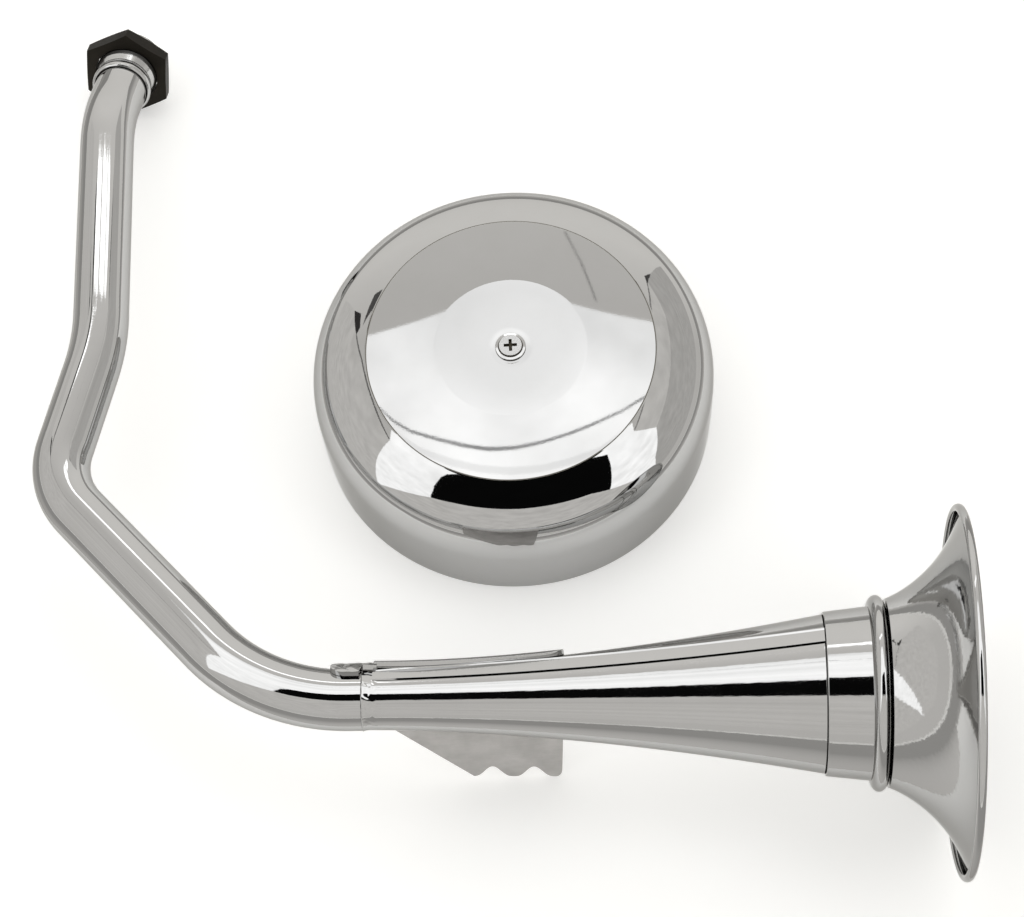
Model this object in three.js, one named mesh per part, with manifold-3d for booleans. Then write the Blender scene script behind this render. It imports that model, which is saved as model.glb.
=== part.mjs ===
// A trumpet horn laid out as a set: the bent trumpet with its coupling nut and mounting bracket, and
// beside it the electric driver, standing on its outlet under a round screwed cover.
// Millimetres, +Z up. The surface that the set lies on is z = 0.
import * as THREE from 'three';
import { mergeVertices } from 'three/addons/utils/BufferGeometryUtils.js';
import Module from 'manifold-3d';

const wasm = await Module();
wasm.setup();

// Clearances and cutters
const seatGap = 0.3;
const cutOverrun = 2;

// Trumpet: sheet, tube and the curve of the throat cone, measured from the end of the neck
const sheet = 0.8;
const throatRadius = 9.2;
const coneMouthRadius = 24.2;
const coneLength = 140;
const coneFlarePower = 1.7;
const coneSpigotLength = 4;
const coneSpigotDrop = 0.7;
const seamWidth = 5.6;
const seamHeight = 0.5;
const seamStart = 3.4;
const seamEdgeAngle = 72;
const brazeWidth = 2.4;
const brazeHeight = 0.3;

// Collar with its bead, and the flared bell with its rolled rim
const collarStartRadius = 24.9;
const collarEndRadius = 26.6;
const collarLength = 13.4;
const beadRadius = 2.6;
const beadHeight = 3.4;
const beadSink = 0.2;
const bellSpigotLength = 7;
const bellLength = 24.2;
const bellThroatRadius = 28.6;
const bellRimRadius = 57.15;
const rimRollRadius = 1.4;
const rimSheet = 0.55;
const rimRollAngle = 225;
const bellEaseShares = [0.34, 0.11];
const bellFlareShares = [0.86, 0.46];

// Neck: straight runs and bends, from the sleeve at the cone to the coupling nut
const tubeRadius = 9.55;
const tubeTipRadius = 9.15;
const tubeWall = 0.9;
const sleeveRun = 31;
const lowerRun = 106.5;
const crookRun = 55.2;
const uprightRun = 94;
const tipRun = 29.4;
const lowerBendRadius = 60;
const crookBendRadius = 28;
const upperBendRadius = 90;
const tipBendRadius = 60;
const neckTilt = 7.02;
const lowerHeading = 132.1;
const crookHeading = 78.6;
const uprightHeading = 93;
const tipHeading = 84;
const tipDip = 18.4;

// Ferrule and coupling nut on the neck's tip
const ferruleRadius = 10.8;
const ferruleGrooveRadius = 10.1;
const ferruleRingRadius = 10.45;
const ferruleShoulder = 5;
const ferruleGroove = 0.8;
const ferruleRing = 3;
const ferruleSpigot = 6;
const ferruleBoreRadius = 8.2;
const ferruleSocketDepth = 3;
const ferruleChamfer = 0.4;
const nutWidth = 28.2;
const nutThickness = 5.45;
const nutChamfer = 0.6;
const nutTurn = -9;

// Bracket: a saddle on the far side of the cone and a plate that hangs from it
const bracketThickness = 1.5;
const bracketLean = 19.2;
const saddleTopAngle = 42;
const saddleStart = 3.6;
const saddleLap = 6;
const earLap = 1.5;
const bracketRightEdge = 61.5;
const earLength = 9.5;
const earLowAngle = 24;
const earTopAngle = 66;
const plateShoulder = 22.8;
const plateDrop = 55.4;
const plateRiseShare = 0.1;
const lobePitch = 13.7;
const lobeDepth = 5;
const lobeSharpnessPower = 3;
const lastNotch = 9.3;
const lobeCount = 2.14;

// Magnet, armature and coil, outward from the core on the driver's axis
const coreRadius = 9;
const pillarRadius = 4;
const pillarNutWidth = 13;
const pillarNutThickness = 4;
const bobbinWall = 1;
const coilReach = 12;
const bobbinFlangeRadius = coreRadius + coilReach;
const windingInset = 0.6;
const windingRadius = bobbinFlangeRadius - windingInset;
const tripPinOffset = 5;
const tripPinPlace = bobbinFlangeRadius + tripPinOffset;
const tripPinRadius = 1.2;
const tripPinHeight = 0.5;
const armatureMargin = 2;
const armatureRadius = tripPinPlace + armatureMargin;
const armatureThickness = 2;
const armatureRestGap = 1.3;
const armatureHubRadius = 5;
const armatureHubHeight = 1.2;
const armatureStudRadius = 3;
const armatureNutWidth = 10;
const armatureNutThickness = 1.5;

// Contact breaker, from its arm's free tip over the trip pin out to the hinge, and its adjusting screw
const armTipOverhang = 2.5;
const armTipPlace = tripPinPlace - armTipOverhang;
const contactOffset = 7;
const contactPlace = tripPinPlace + contactOffset;
const hingeOffset = 6;
const armHingePlace = contactPlace + hingeOffset;
const armThickness = 0.7;
const armHalfWidth = 3;
const contactRadius = 1.4;
const contactHeight = 0.6;
const postThickness = 0.8;
const fixedArmReach = 11;
const fixedArmDrop = 0.9;
const blockLength = 8.4;
const blockHeight = 6;
const adjusterRadius = 2;
const adjusterBack = 3;
const adjusterAside = 4;
const adjusterPlaceX = armHingePlace - adjusterBack;
const adjusterPlaceY = armHalfWidth + adjusterAside;
const adjusterStandProud = 3.6;
const lockNutWidth = 7;
const lockNutThickness = 2.4;

// The two terminals, on the far side of the coil from the contact breaker
const terminalOffset = 9;
const terminalPlaceX = -(bobbinFlangeRadius + terminalOffset);
const terminalPlaceY = 12;
const terminalRadius = 2;
const terminalHeadRadius = 3.6;
const terminalHeadHeight = 1.7;
const terminalStandProud = 4.6;
const terminalNutWidth = 7;
const terminalNutThickness = 2.2;
const bushRadius = 3.2;
const bushFlangeRadius = 6;
const bushFlangeHeight = 1.5;
const bushBelow = 1;

// Housing, plates and diaphragm, round the breaker and up from the outlet's end
const housingMargin = 7;
const housingRadius = armHingePlace + housingMargin;
const housingThickness = 2;
const housingHeight = 19.7;
const housingCorner = 3;
const flangeWidth = 14;
const flangeRadius = housingRadius + flangeWidth;
const flangeScrewOffset = 8;
const flangeScrewCircle = housingRadius + flangeScrewOffset;
const flangeScrewCount = 6;
const flangeScrewRadius = 1.9;
const flangeScrewHeadRadius = 3.6;
const flangeScrewHeadHeight = 2.2;
const slotWidth = 1;
const slotDepth = 0.9;
const gasketSetback = 1;
const gasketInnerRadius = housingRadius + gasketSetback;
const gasketThickness = 0.8;
const diaphragmThickness = 0.5;
const diaphragmRibSetback = 10;
const diaphragmRibRadius = housingRadius - diaphragmRibSetback;
const diaphragmRibWidth = 6;
const diaphragmRibDepth = 0.8;
const soundChamberRadius = housingRadius;
const soundChamberDepth = 1.2;
const soundPlateThickness = 3;
const outletLength = 12;
const outletWall = 4.2;
const outletRadius = ferruleRadius + outletWall;
const outletThroatRadius = 6;

// Cover: a spun dome with a creased face, held by one screw
const coverMargin = 6.5;
const coverRadius = flangeRadius + coverMargin;
const coverDraw = 0.7;
const coverWidestHeight = 24;
const coverShoulderWidth = 18.9;
const coverCreaseRadius = coverRadius - coverShoulderWidth;
const coverCreaseHeight = 44.2;
const coverFaceRise = 0.7;
const coverWall = 0.9;
const coverShoulderAngle = 15.5;
const coverShoulderRiseShare = 0.66;
const coverShoulderRunShare = 0.61;
const coverScrewRadius = 2;
const coverScrewHeadRadius = 5;
const coverScrewTopRadius = 4.2;
const coverScrewHeadHeight = 1.3;
const coverScrewLength = 9;
const crossSpan = 4.3;
const crossWidth = 1;
const crossDepth = 0.8;

// Place of the cover's centre, from the sleeve's end on the bell's axis
const coverAlong = 44.2;
const coverBehind = 126.4;

// Facets
const largeSides = 36;
const driverSides = 32;
const tubeSides = 16;
const smallSides = 24;
const holeSides = 12;
const neckSteps = 38;
const profileSteps = 8;
const beadSteps = 6;
const rollSteps = 5;
const lobeSteps = 24;
const skirtSteps = 2;
const faceSteps = 2;

// Finishes
const chrome = { color: 0xb9babc, roughness: 0.08, metalness: 1 };
const blackSteel = { color: 0x26241f, roughness: 0.55, metalness: 0.8 };
const plainSteel = { color: 0x9a9a98, roughness: 0.4, metalness: 1 };
const brushedPlate = { color: 0xa9a7a6, roughness: 0.45, metalness: 1 };
const castAlloy = { color: 0x8f9294, roughness: 0.5, metalness: 1 };
const blackPaint = { color: 0x1b1c1e, roughness: 0.45, metalness: 0.1 };
const brassFinish = { color: 0xb08d4c, roughness: 0.35, metalness: 1 };
const copperWire = { color: 0xa4592e, roughness: 0.35, metalness: 1 };
const fibre = { color: 0x5a3a26, roughness: 0.8, metalness: 0 };
const phenolic = { color: 0x3b2318, roughness: 0.5, metalness: 0 };

const radians = (degrees) => THREE.MathUtils.degToRad(degrees);

function named(name, geometry, finish) {
  const mesh = new THREE.Mesh(geometry, new THREE.MeshStandardMaterial(finish));
  mesh.name = name;
  return mesh;
}

function toSolid(geometry) {
  const bare = geometry.clone();
  bare.deleteAttribute('normal');
  bare.deleteAttribute('uv');
  const merged = mergeVertices(bare);
  const index = merged.index.array;
  const triVerts = [];
  for (let i = 0; i < index.length; i += 3) {
    const [a, b, c] = [index[i], index[i + 1], index[i + 2]];
    if (a !== b && b !== c && c !== a) triVerts.push(a, b, c);
  }
  const vertProperties = new Float32Array(merged.attributes.position.array);
  const mesh = new wasm.Mesh({ numProp: 3, vertProperties, triVerts: new Uint32Array(triVerts) });
  return new wasm.Manifold(mesh);
}

function toGeometry(solid) {
  const mesh = solid.getMesh();
  const geometry = new THREE.BufferGeometry();
  geometry.setAttribute('position', new THREE.BufferAttribute(new Float32Array(mesh.vertProperties), 3));
  geometry.setIndex(new THREE.BufferAttribute(new Uint32Array(mesh.triVerts), 1));
  return geometry;
}

function cut(geometry, cutters) {
  const solid = cutters.reduce((rest, cutter) => rest.subtract(toSolid(cutter)), toSolid(geometry));
  return toGeometry(solid);
}

function join(geometries) {
  const [first, ...others] = geometries.map(toSolid);
  return toGeometry(others.reduce((whole, other) => whole.add(other), first));
}

// A solid turned about Z. The profile runs anticlockwise in (radius, height).
function turned(profile, sides = smallSides) {
  const points = profile.map(([radius, height]) => new THREE.Vector2(radius, height));
  return new THREE.LatheGeometry(points, sides).rotateX(Math.PI / 2);
}

function turnedRing(profile, sides = smallSides) {
  return turned([...profile, profile[0]], sides);
}

function disc(radius, low, high, sides = smallSides) {
  return turned([[0, low], [radius, low], [radius, high], [0, high]], sides);
}

function washer(inner, outer, low, high, sides = smallSides) {
  return turnedRing([[inner, low], [outer, low], [outer, high], [inner, high]], sides);
}

function box(xRange, yRange, zRange) {
  const size = [xRange, yRange, zRange].map(([low, high]) => high - low);
  const middle = [xRange, yRange, zRange].map(([low, high]) => (low + high) / 2);
  return new THREE.BoxGeometry(...size).translate(...middle);
}

function plainNut(width, bore, low, high) {
  const corner = width / 2 / Math.cos(Math.PI / 6);
  return cut(disc(corner, low, high, 6), [disc(bore, low - cutOverrun, high + cutOverrun, holeSides)]);
}

// Turns a solid made about Z so that it lies along the bell's axis, X.
function alongBell(geometry) {
  return geometry.rotateY(Math.PI / 2);
}

// Trumpet pieces, in a frame with the bell's axis on X, the sleeve's end at the origin and Z up

function coneRadiusAt(along) {
  const share = Math.max(along, 0) / coneLength;
  return throatRadius + (coneMouthRadius - throatRadius) * share ** coneFlarePower;
}

function coneOutline(offset, from, to) {
  const points = [];
  for (let i = 0; i <= profileSteps; i += 1) {
    const along = from + (to - from) * (i / profileSteps);
    points.push([coneRadiusAt(along) + offset, along]);
  }
  return points;
}

// The strip of the cone under the lap seam, as a slab between two planes along the cone.
function seamSlab(start, clearance) {
  const reach = coneMouthRadius * 2;
  return box([start, coneLength + cutOverrun], [-clearance, seamWidth + clearance], [0, reach])
    .rotateX(radians(seamEdgeAngle - 90));
}

function seamBand() {
  const raised = coneOutline(seamHeight, seamStart, coneLength - seatGap);
  const buried = coneOutline(-sheet / 2, seamStart, coneLength - seatGap).reverse();
  const ring = alongBell(turnedRing([...raised, ...buried], largeSides));
  return toGeometry(toSolid(ring).intersect(toSolid(seamSlab(0, 0))));
}

function throatCone() {
  const end = coneLength + coneSpigotLength;
  const brazeEnd = seatGap + brazeWidth;
  const outer = coneOutline(0, brazeEnd, coneLength - seatGap);
  const inner = coneOutline(-sheet, seatGap, end).reverse();
  const spigotRadius = coneMouthRadius - coneSpigotDrop;
  return join([
    alongBell(turnedRing([
      [tubeRadius + brazeHeight, seatGap], ...outer, [spigotRadius, coneLength - seatGap],
      [spigotRadius, end], [spigotRadius - sheet, end],
      ...inner.filter(([radius]) => radius < spigotRadius - sheet),
    ], largeSides)),
    seamBand(),
  ]);
}

const collarStart = coneLength;
const beadCentre = collarStart + collarLength + beadRadius;

const collarEnd = beadCentre + beadRadius;
const bellShoulder = collarEnd + seatGap;

function collarBoreAt(along) {
  const share = (along - collarStart) / (collarEnd - collarStart);
  return collarStartRadius + (collarEndRadius - collarStartRadius) * share - sheet;
}

function bellCollar() {
  const beadBase = collarEndRadius - beadSink;
  const outline = [[collarBoreAt(collarStart), collarStart], [collarStartRadius, collarStart]];
  for (let i = 0; i <= beadSteps; i += 1) {
    const angle = Math.PI * (i / beadSteps);
    outline.push([beadBase + beadHeight * Math.sin(angle), beadCentre - beadRadius * Math.cos(angle)]);
  }
  outline.push([collarBoreAt(collarEnd), collarEnd]);
  return alongBell(turnedRing(outline, largeSides));
}

function bellCurve(offset) {
  const rise = bellRimRadius - rimRollRadius - bellThroatRadius;
  const run = bellLength - rimSheet;
  const point = ([runShare, riseShare]) => new THREE.Vector2(
    bellThroatRadius + rise * riseShare, bellShoulder + run * runShare);
  const curve = new THREE.CubicBezierCurve(
    point([0, 0]), point(bellEaseShares), point(bellFlareShares), point([1, 1]));
  return Array.from({ length: profileSteps + 1 }, (_, i) => {
    const place = curve.getPoint(i / profileSteps);
    const along = curve.getTangent(i / profileSteps);
    return [place.x - offset * along.y, place.y + offset * along.x];
  });
}

// One side of the rim's backward roll, as points from the bell's sheet round to its free edge.
function rimRoll(radius, centre) {
  return Array.from({ length: rollSteps }, (_, i) => {
    const angle = Math.PI / 2 - radians(rimRollAngle) * ((i + 1) / rollSteps);
    return [centre[0] + radius * Math.cos(angle), centre[1] + radius * Math.sin(angle)];
  });
}

function bellFlare() {
  const back = bellCurve(0);
  const [endRadius, endPlace] = back[back.length - 1];
  const centre = [endRadius, endPlace - (rimRollRadius - rimSheet)];
  const spigotStart = bellShoulder - bellSpigotLength;
  const spigotRadius = collarBoreAt(spigotStart) - seatGap;
  const step = bellShoulder + sheet;
  const front = bellCurve(sheet).slice(0, -1).filter(([, place]) => place > step);
  return alongBell(turnedRing([
    [spigotRadius - sheet, spigotStart], [spigotRadius, spigotStart], [spigotRadius, bellShoulder],
    ...back, ...rimRoll(rimRollRadius - rimSheet, centre),
    ...rimRoll(rimRollRadius, centre).reverse(), [centre[0], centre[1] + rimRollRadius],
    ...front.reverse(), [bellThroatRadius - sheet, step], [spigotRadius - sheet, step],
  ], largeSides));
}

// A bend of constant radius that rounds a corner between two straight runs.
class Bend extends THREE.Curve {
  constructor(corner, arriving, leaving, radius) {
    super();
    this.radius = radius;
    this.turn = arriving.angleTo(leaving);
    this.reach = radius * Math.tan(this.turn / 2);
    this.arriving = arriving;
    this.start = corner.clone().addScaledVector(arriving, -this.reach);
    this.inward = leaving.clone().addScaledVector(arriving, -Math.cos(this.turn)).normalize();
  }

  getPoint(share, target = new THREE.Vector3()) {
    const angle = this.turn * share;
    return target.copy(this.start)
      .addScaledVector(this.arriving, this.radius * Math.sin(angle))
      .addScaledVector(this.inward, this.radius * (1 - Math.cos(angle)));
  }
}

// Direction of a run: its heading in the neck's own tilted plane, and how far it dips below it.
function runDirection(heading, dip) {
  const tilt = radians(neckTilt);
  const flat = new THREE.Vector3(Math.cos(radians(heading)), Math.sin(radians(heading)), 0);
  flat.multiplyScalar(Math.cos(radians(dip))).setZ(-Math.sin(radians(dip)));
  return flat.applyAxisAngle(new THREE.Vector3(1, 0, 0), -tilt);
}

function neckRoute() {
  const runs = [
    [sleeveRun, 180, 0, lowerBendRadius], [lowerRun, lowerHeading, 0, crookBendRadius],
    [crookRun, crookHeading, 0, upperBendRadius], [uprightRun, uprightHeading, 0, tipBendRadius],
    [tipRun, tipHeading, tipDip, 0],
  ];
  const route = new THREE.CurvePath();
  let corner = new THREE.Vector3();
  let from = corner;
  runs.forEach(([length, heading, dip, bendRadius], i) => {
    const direction = runDirection(heading, dip);
    const next = corner.clone().addScaledVector(direction, length);
    if (i === runs.length - 1) {
      const end = next.clone().addScaledVector(direction, ferruleSocketDepth);
      route.add(new THREE.LineCurve3(from, end));
      route.tip = next;
      route.tipDirection = direction;
      return;
    }
    const leaving = runDirection(runs[i + 1][1], runs[i + 1][2]);
    const bend = new Bend(next, direction, leaving, bendRadius);
    route.add(new THREE.LineCurve3(from, bend.start));
    route.add(bend);
    from = bend.getPoint(1);
    corner = next;
  });
  return route;
}

function circlePoints(radius) {
  return Array.from({ length: tubeSides }, (_, i) => {
    const angle = 2 * Math.PI * (i / tubeSides);
    return new THREE.Vector2(radius * Math.cos(angle), radius * Math.sin(angle));
  });
}

function neckTube(route) {
  const section = new THREE.Shape(circlePoints(tubeRadius));
  section.holes.push(new THREE.Path(circlePoints(tubeRadius - tubeWall)));
  const tube = new THREE.ExtrudeGeometry(section, { steps: neckSteps, extrudePath: route });
  const centres = route.getSpacedPoints(neckSteps);
  const places = tube.attributes.position;
  const point = new THREE.Vector3();
  for (let i = 0; i < places.count; i += 1) {
    point.fromBufferAttribute(places, i);
    const distances = centres.map((centre) => centre.distanceToSquared(point));
    const nearest = distances.indexOf(Math.min(...distances));
    const taper = 1 + (tubeTipRadius / tubeRadius - 1) * (nearest / neckSteps);
    point.sub(centres[nearest]).multiplyScalar(taper).add(centres[nearest]);
    places.setXYZ(i, point.x, point.y, point.z);
  }
  return tube;
}

// Ferrule and nut are made about Z: z = 0 is the nut's near face, and +z runs back up the neck.
function neckFerrule() {
  const end = -nutThickness - ferruleSpigot;
  const grooveTop = ferruleShoulder + ferruleGroove;
  const top = grooveTop + ferruleRing;
  const socket = tubeTipRadius + seatGap;
  const seat = -ferruleSocketDepth - seatGap;
  return turnedRing([
    [ferruleBoreRadius, end], [ferruleRadius - ferruleChamfer, end],
    [ferruleRadius, end + ferruleChamfer], [ferruleRadius, ferruleShoulder],
    [ferruleGrooveRadius, ferruleShoulder],
    [ferruleGrooveRadius, grooveTop], [ferruleRingRadius, grooveTop],
    [ferruleRingRadius, top], [socket, top], [socket, seat], [ferruleBoreRadius, seat],
  ]);
}

function couplingNut() {
  const flat = nutWidth / 2;
  const corner = flat / Math.cos(Math.PI / 6);
  const low = -nutThickness;
  const prism = disc(corner, low, 0, 6).rotateZ(radians(nutTurn));
  const rounded = turned([
    [0, low], [flat, low], [corner, low + nutChamfer], [corner, -nutChamfer], [flat, 0], [0, 0],
  ]);
  const bore = disc(ferruleRadius + seatGap, low - cutOverrun, cutOverrun);
  return toGeometry(toSolid(prism).intersect(toSolid(rounded)).subtract(toSolid(bore)));
}

function atTip(geometry, route) {
  const up = route.tipDirection.clone().negate();
  const turn = new THREE.Quaternion().setFromUnitVectors(new THREE.Vector3(0, 0, 1), up);
  return geometry.applyQuaternion(turn).translate(...route.tip.toArray());
}

// A wedge about the bell's axis, between two angles measured up from the far side.
function axialWedge(lowAngle, highAngle, start, end) {
  const reach = coneMouthRadius;
  const rim = [lowAngle, (lowAngle + highAngle) / 2, highAngle].map((angle) => new THREE.Vector2(
    reach * Math.cos(radians(angle)), reach * Math.sin(radians(angle))));
  const wedge = new THREE.Shape([new THREE.Vector2(), ...rim]);
  const solid = new THREE.ExtrudeGeometry(wedge, { depth: end - start, bevelEnabled: false });
  const [x, y, z] = [[1, 0, 0], [0, 1, 0], [0, 0, 1]].map((axis) => new THREE.Vector3(...axis));
  return solid.applyMatrix4(new THREE.Matrix4().makeBasis(y, z, x)).translate(start, 0, 0);
}

function bracketSaddle() {
  const inner = coneOutline(seatGap, saddleStart, bracketRightEdge);
  const outer = coneOutline(seatGap + bracketThickness, saddleStart, bracketRightEdge);
  const shell = alongBell(turnedRing([...outer, ...inner.reverse()], largeSides));
  const arc = axialWedge(-bracketLean - saddleLap, saddleTopAngle, 0, bracketRightEdge + cutOverrun);
  return toGeometry(toSolid(shell).intersect(toSolid(arc)));
}

function bracketEar() {
  const inner = tubeRadius + brazeHeight + seatGap;
  const outer = inner + bracketThickness;
  const shell = alongBell(washer(inner, outer, -earLength, saddleStart + earLap, largeSides));
  const arc = axialWedge(earLowAngle, earTopAngle, -earLength - cutOverrun, saddleStart + cutOverrun);
  return toGeometry(toSolid(shell).intersect(toSolid(arc)));
}

// Lower edge of the plate, as how far it hangs below the saddle at a place along the cone.
function lobeEdge(along) {
  const drop = plateDrop - plateRiseShare * (bracketRightEdge - along);
  const phase = (along - (bracketRightEdge - lastNotch)) / lobePitch;
  const notch = Math.abs(Math.cos(Math.PI * phase)) ** lobeSharpnessPower;
  return drop - lobeDepth * notch;
}

function bracketPlate() {
  const firstLobe = bracketRightEdge - lobePitch * lobeCount;
  const outline = [[saddleStart, -bracketThickness], [saddleStart, plateShoulder]];
  for (let i = 0; i <= lobeSteps; i += 1) {
    const along = firstLobe + (bracketRightEdge - firstLobe) * (i / lobeSteps);
    outline.push([along, lobeEdge(along)]);
  }
  outline.push([bracketRightEdge, -bracketThickness]);
  const shape = new THREE.Shape(outline.map(([along, drop]) => new THREE.Vector2(along, drop)));
  const plate = new THREE.ExtrudeGeometry(shape, { depth: bracketThickness, bevelEnabled: false });
  const coneSlant = Math.atan2(coneRadiusAt(bracketRightEdge) - throatRadius, bracketRightEdge);
  const lean = radians(bracketLean);
  const down = new THREE.Vector3(0, -Math.sin(lean), -Math.cos(lean));
  const away = new THREE.Vector3(0, Math.cos(lean), -Math.sin(lean));
  const alongPlate = new THREE.Vector3(1, 0, 0).applyAxisAngle(down, -coneSlant);
  const through = away.clone().applyAxisAngle(down, -coneSlant);
  const place = new THREE.Matrix4().makeBasis(alongPlate, down, through);
  return plate.applyMatrix4(place.setPosition(away.multiplyScalar(throatRadius + seatGap)));
}

function mountingBracket() {
  const whole = join([bracketSaddle(), bracketEar(), bracketPlate()]);
  return cut(whole, [seamSlab(seamStart - seatGap, seatGap)]);
}

function trumpet() {
  const group = new THREE.Group();
  const route = neckRoute();
  group.add(
    named('coupling_nut', atTip(couplingNut(), route), blackSteel),
    named('neck_ferrule', atTip(neckFerrule(), route), chrome),
    named('neck_tube', neckTube(route), chrome),
    named('throat_cone', throatCone(), chrome),
    named('bell_collar', bellCollar(), chrome),
    named('bell_flare', bellFlare(), chrome),
    named('mounting_bracket', mountingBracket(), brushedPlate),
  );
  return group;
}

// Cover and driver pieces, in a frame with the outlet's end at the origin and Z up

const soundPlateTop = outletLength + soundPlateThickness;
const frontGasketTop = soundPlateTop + seatGap + gasketThickness;
const diaphragmLow = frontGasketTop + seatGap;
const diaphragmTop = diaphragmLow + diaphragmThickness;
const backGasketTop = diaphragmTop + seatGap + gasketThickness;
const flangeLow = backGasketTop + seatGap;
const flangeTop = flangeLow + housingThickness;
const housingTop = flangeLow + housingHeight;
const ceiling = housingTop - housingThickness;
const armatureLow = diaphragmTop + seatGap + armatureHubHeight;
const armatureTop = armatureLow + armatureThickness;
const coreLow = armatureTop + armatureRestGap;
const faceTop = coverCreaseHeight + coverFaceRise;
const faceUnderside = faceTop - coverWall;

function coverOutline(inset, holeRadius) {
  const widest = new THREE.Vector2(coverRadius - inset, coverWidestHeight);
  const crease = new THREE.Vector2(coverCreaseRadius - inset, coverCreaseHeight - inset);
  const points = [];
  for (let i = 0; i < skirtSteps; i += 1) {
    const share = i / skirtSteps;
    points.push([widest.x - coverDraw * (1 - share) ** 2, coverWidestHeight * share]);
  }
  const across = (widest.x - crease.x) * coverShoulderRunShare;
  const shoulder = new THREE.CubicBezierCurve(
    widest,
    new THREE.Vector2(widest.x, widest.y + (crease.y - widest.y) * coverShoulderRiseShare),
    new THREE.Vector2(crease.x + across, crease.y - across * Math.tan(radians(coverShoulderAngle))),
    crease,
  );
  points.push(...shoulder.getPoints(profileSteps).map((point) => [point.x, point.y]));
  for (let i = 1; i <= faceSteps; i += 1) {
    const radius = crease.x + (holeRadius - crease.x) * (i / faceSteps);
    points.push([radius, crease.y + coverFaceRise * (1 - (radius / crease.x) ** 2)]);
  }
  return points;
}

function domeCover() {
  const hole = coverScrewRadius + seatGap * 2;
  return turnedRing([...coverOutline(0, hole), ...coverOutline(coverWall, hole).reverse()], largeSides);
}

function crossRecess(top) {
  const span = [-crossSpan / 2, crossSpan / 2];
  const arm = [-crossWidth / 2, crossWidth / 2];
  const depth = [top - crossDepth, top + cutOverrun];
  return [box(span, arm, depth), box(arm, span, depth)];
}

function coverScrew() {
  const low = faceTop + seatGap;
  const top = low + coverScrewHeadHeight;
  const head = turned([
    [0, low - coverScrewLength], [coverScrewRadius, low - coverScrewLength], [coverScrewRadius, low],
    [coverScrewHeadRadius, low], [coverScrewTopRadius, top], [0, top],
  ]);
  return cut(head, crossRecess(top));
}

function flangeScrewPlaces() {
  return Array.from({ length: flangeScrewCount }, (_, i) => {
    const angle = 2 * Math.PI * ((i + 0.5) / flangeScrewCount);
    return [flangeScrewCircle * Math.cos(angle), flangeScrewCircle * Math.sin(angle)];
  });
}

function drillFlange(geometry) {
  const hole = flangeScrewRadius + seatGap;
  const drills = flangeScrewPlaces().map(([x, y]) => disc(hole, 0, housingTop, holeSides).translate(x, y, 0));
  return cut(geometry, drills);
}

function flangeScrew([x, y]) {
  const low = outletLength + seatGap;
  const seat = flangeTop + seatGap;
  const top = seat + flangeScrewHeadHeight;
  const screw = turned([
    [0, low], [flangeScrewRadius, low], [flangeScrewRadius, seat], [flangeScrewHeadRadius, seat],
    [flangeScrewHeadRadius, top - slotDepth], [flangeScrewRadius + slotDepth, top], [0, top],
  ], holeSides);
  const wide = flangeScrewHeadRadius + cutOverrun;
  const slot = box([-wide, wide], [-slotWidth / 2, slotWidth / 2], [top - slotDepth, top + cutOverrun]);
  return cut(screw, [slot]).translate(x, y, 0);
}

function soundPlate() {
  const floor = soundPlateTop - soundChamberDepth;
  const bore = ferruleRadius + seatGap;
  const socketTop = outletLength - seatGap;
  return drillFlange(turnedRing([
    [bore, 0], [outletRadius, 0], [outletRadius, outletLength], [flangeRadius, outletLength],
    [flangeRadius, soundPlateTop], [soundChamberRadius, soundPlateTop], [soundChamberRadius, floor],
    [outletThroatRadius, floor], [outletThroatRadius, socketTop], [bore, socketTop],
  ], driverSides));
}

function flangeGasket(top) {
  return drillFlange(washer(gasketInnerRadius, flangeRadius, top - gasketThickness, top, driverSides));
}

function diaphragm() {
  const hole = armatureStudRadius + seatGap;
  const [middle, half] = [diaphragmRibRadius, diaphragmRibWidth / 2];
  const places = [
    [hole, 0], [middle - half * 2, 0], [middle - half, diaphragmRibDepth],
    [middle + half, diaphragmRibDepth], [middle + half * 2, 0], [flangeRadius, 0],
  ];
  const low = places.map(([radius, depth]) => [radius, diaphragmLow - depth]);
  const high = places.map(([radius, depth]) => [radius, diaphragmTop - depth]).reverse();
  return drillFlange(turnedRing([...low, ...high], driverSides));
}

function driverHousing() {
  const bore = housingRadius - housingThickness;
  const shell = turnedRing([
    [bore, flangeLow], [flangeRadius, flangeLow], [flangeRadius, flangeTop], [housingRadius, flangeTop],
    [housingRadius, housingTop - housingCorner], [housingRadius - housingCorner, housingTop],
    [pillarRadius + seatGap, housingTop], [pillarRadius + seatGap, ceiling],
    [bore - housingCorner / 2, ceiling], [bore, ceiling - housingCorner / 2],
  ], driverSides);
  const through = (radius, x, y) => disc(radius, ceiling - cutOverrun, housingTop + cutOverrun, holeSides)
    .translate(x, y, 0);
  return cut(drillFlange(shell), [
    through(adjusterRadius + seatGap, adjusterPlaceX, adjusterPlaceY),
    through(bushRadius + seatGap, terminalPlaceX, terminalPlaceY),
    through(bushRadius + seatGap, terminalPlaceX, -terminalPlaceY),
  ]);
}

function poleCore() {
  const seat = ceiling - seatGap;
  const top = faceUnderside - seatGap;
  const core = turned([
    [0, coreLow], [coreRadius, coreLow], [coreRadius, seat],
    [pillarRadius, seat], [pillarRadius, top], [0, top],
  ]);
  const tapped = disc(coverScrewRadius + seatGap, top - coverScrewLength, top + cutOverrun, holeSides);
  return cut(core, [tapped]);
}

function pillarNut() {
  const low = housingTop + seatGap;
  return plainNut(pillarNutWidth, pillarRadius + seatGap, low, low + pillarNutThickness);
}

const bobbinLow = coreLow + seatGap;
const bobbinTop = ceiling - seatGap * 2;
const bobbinTube = coreRadius + seatGap + bobbinWall;

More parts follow.
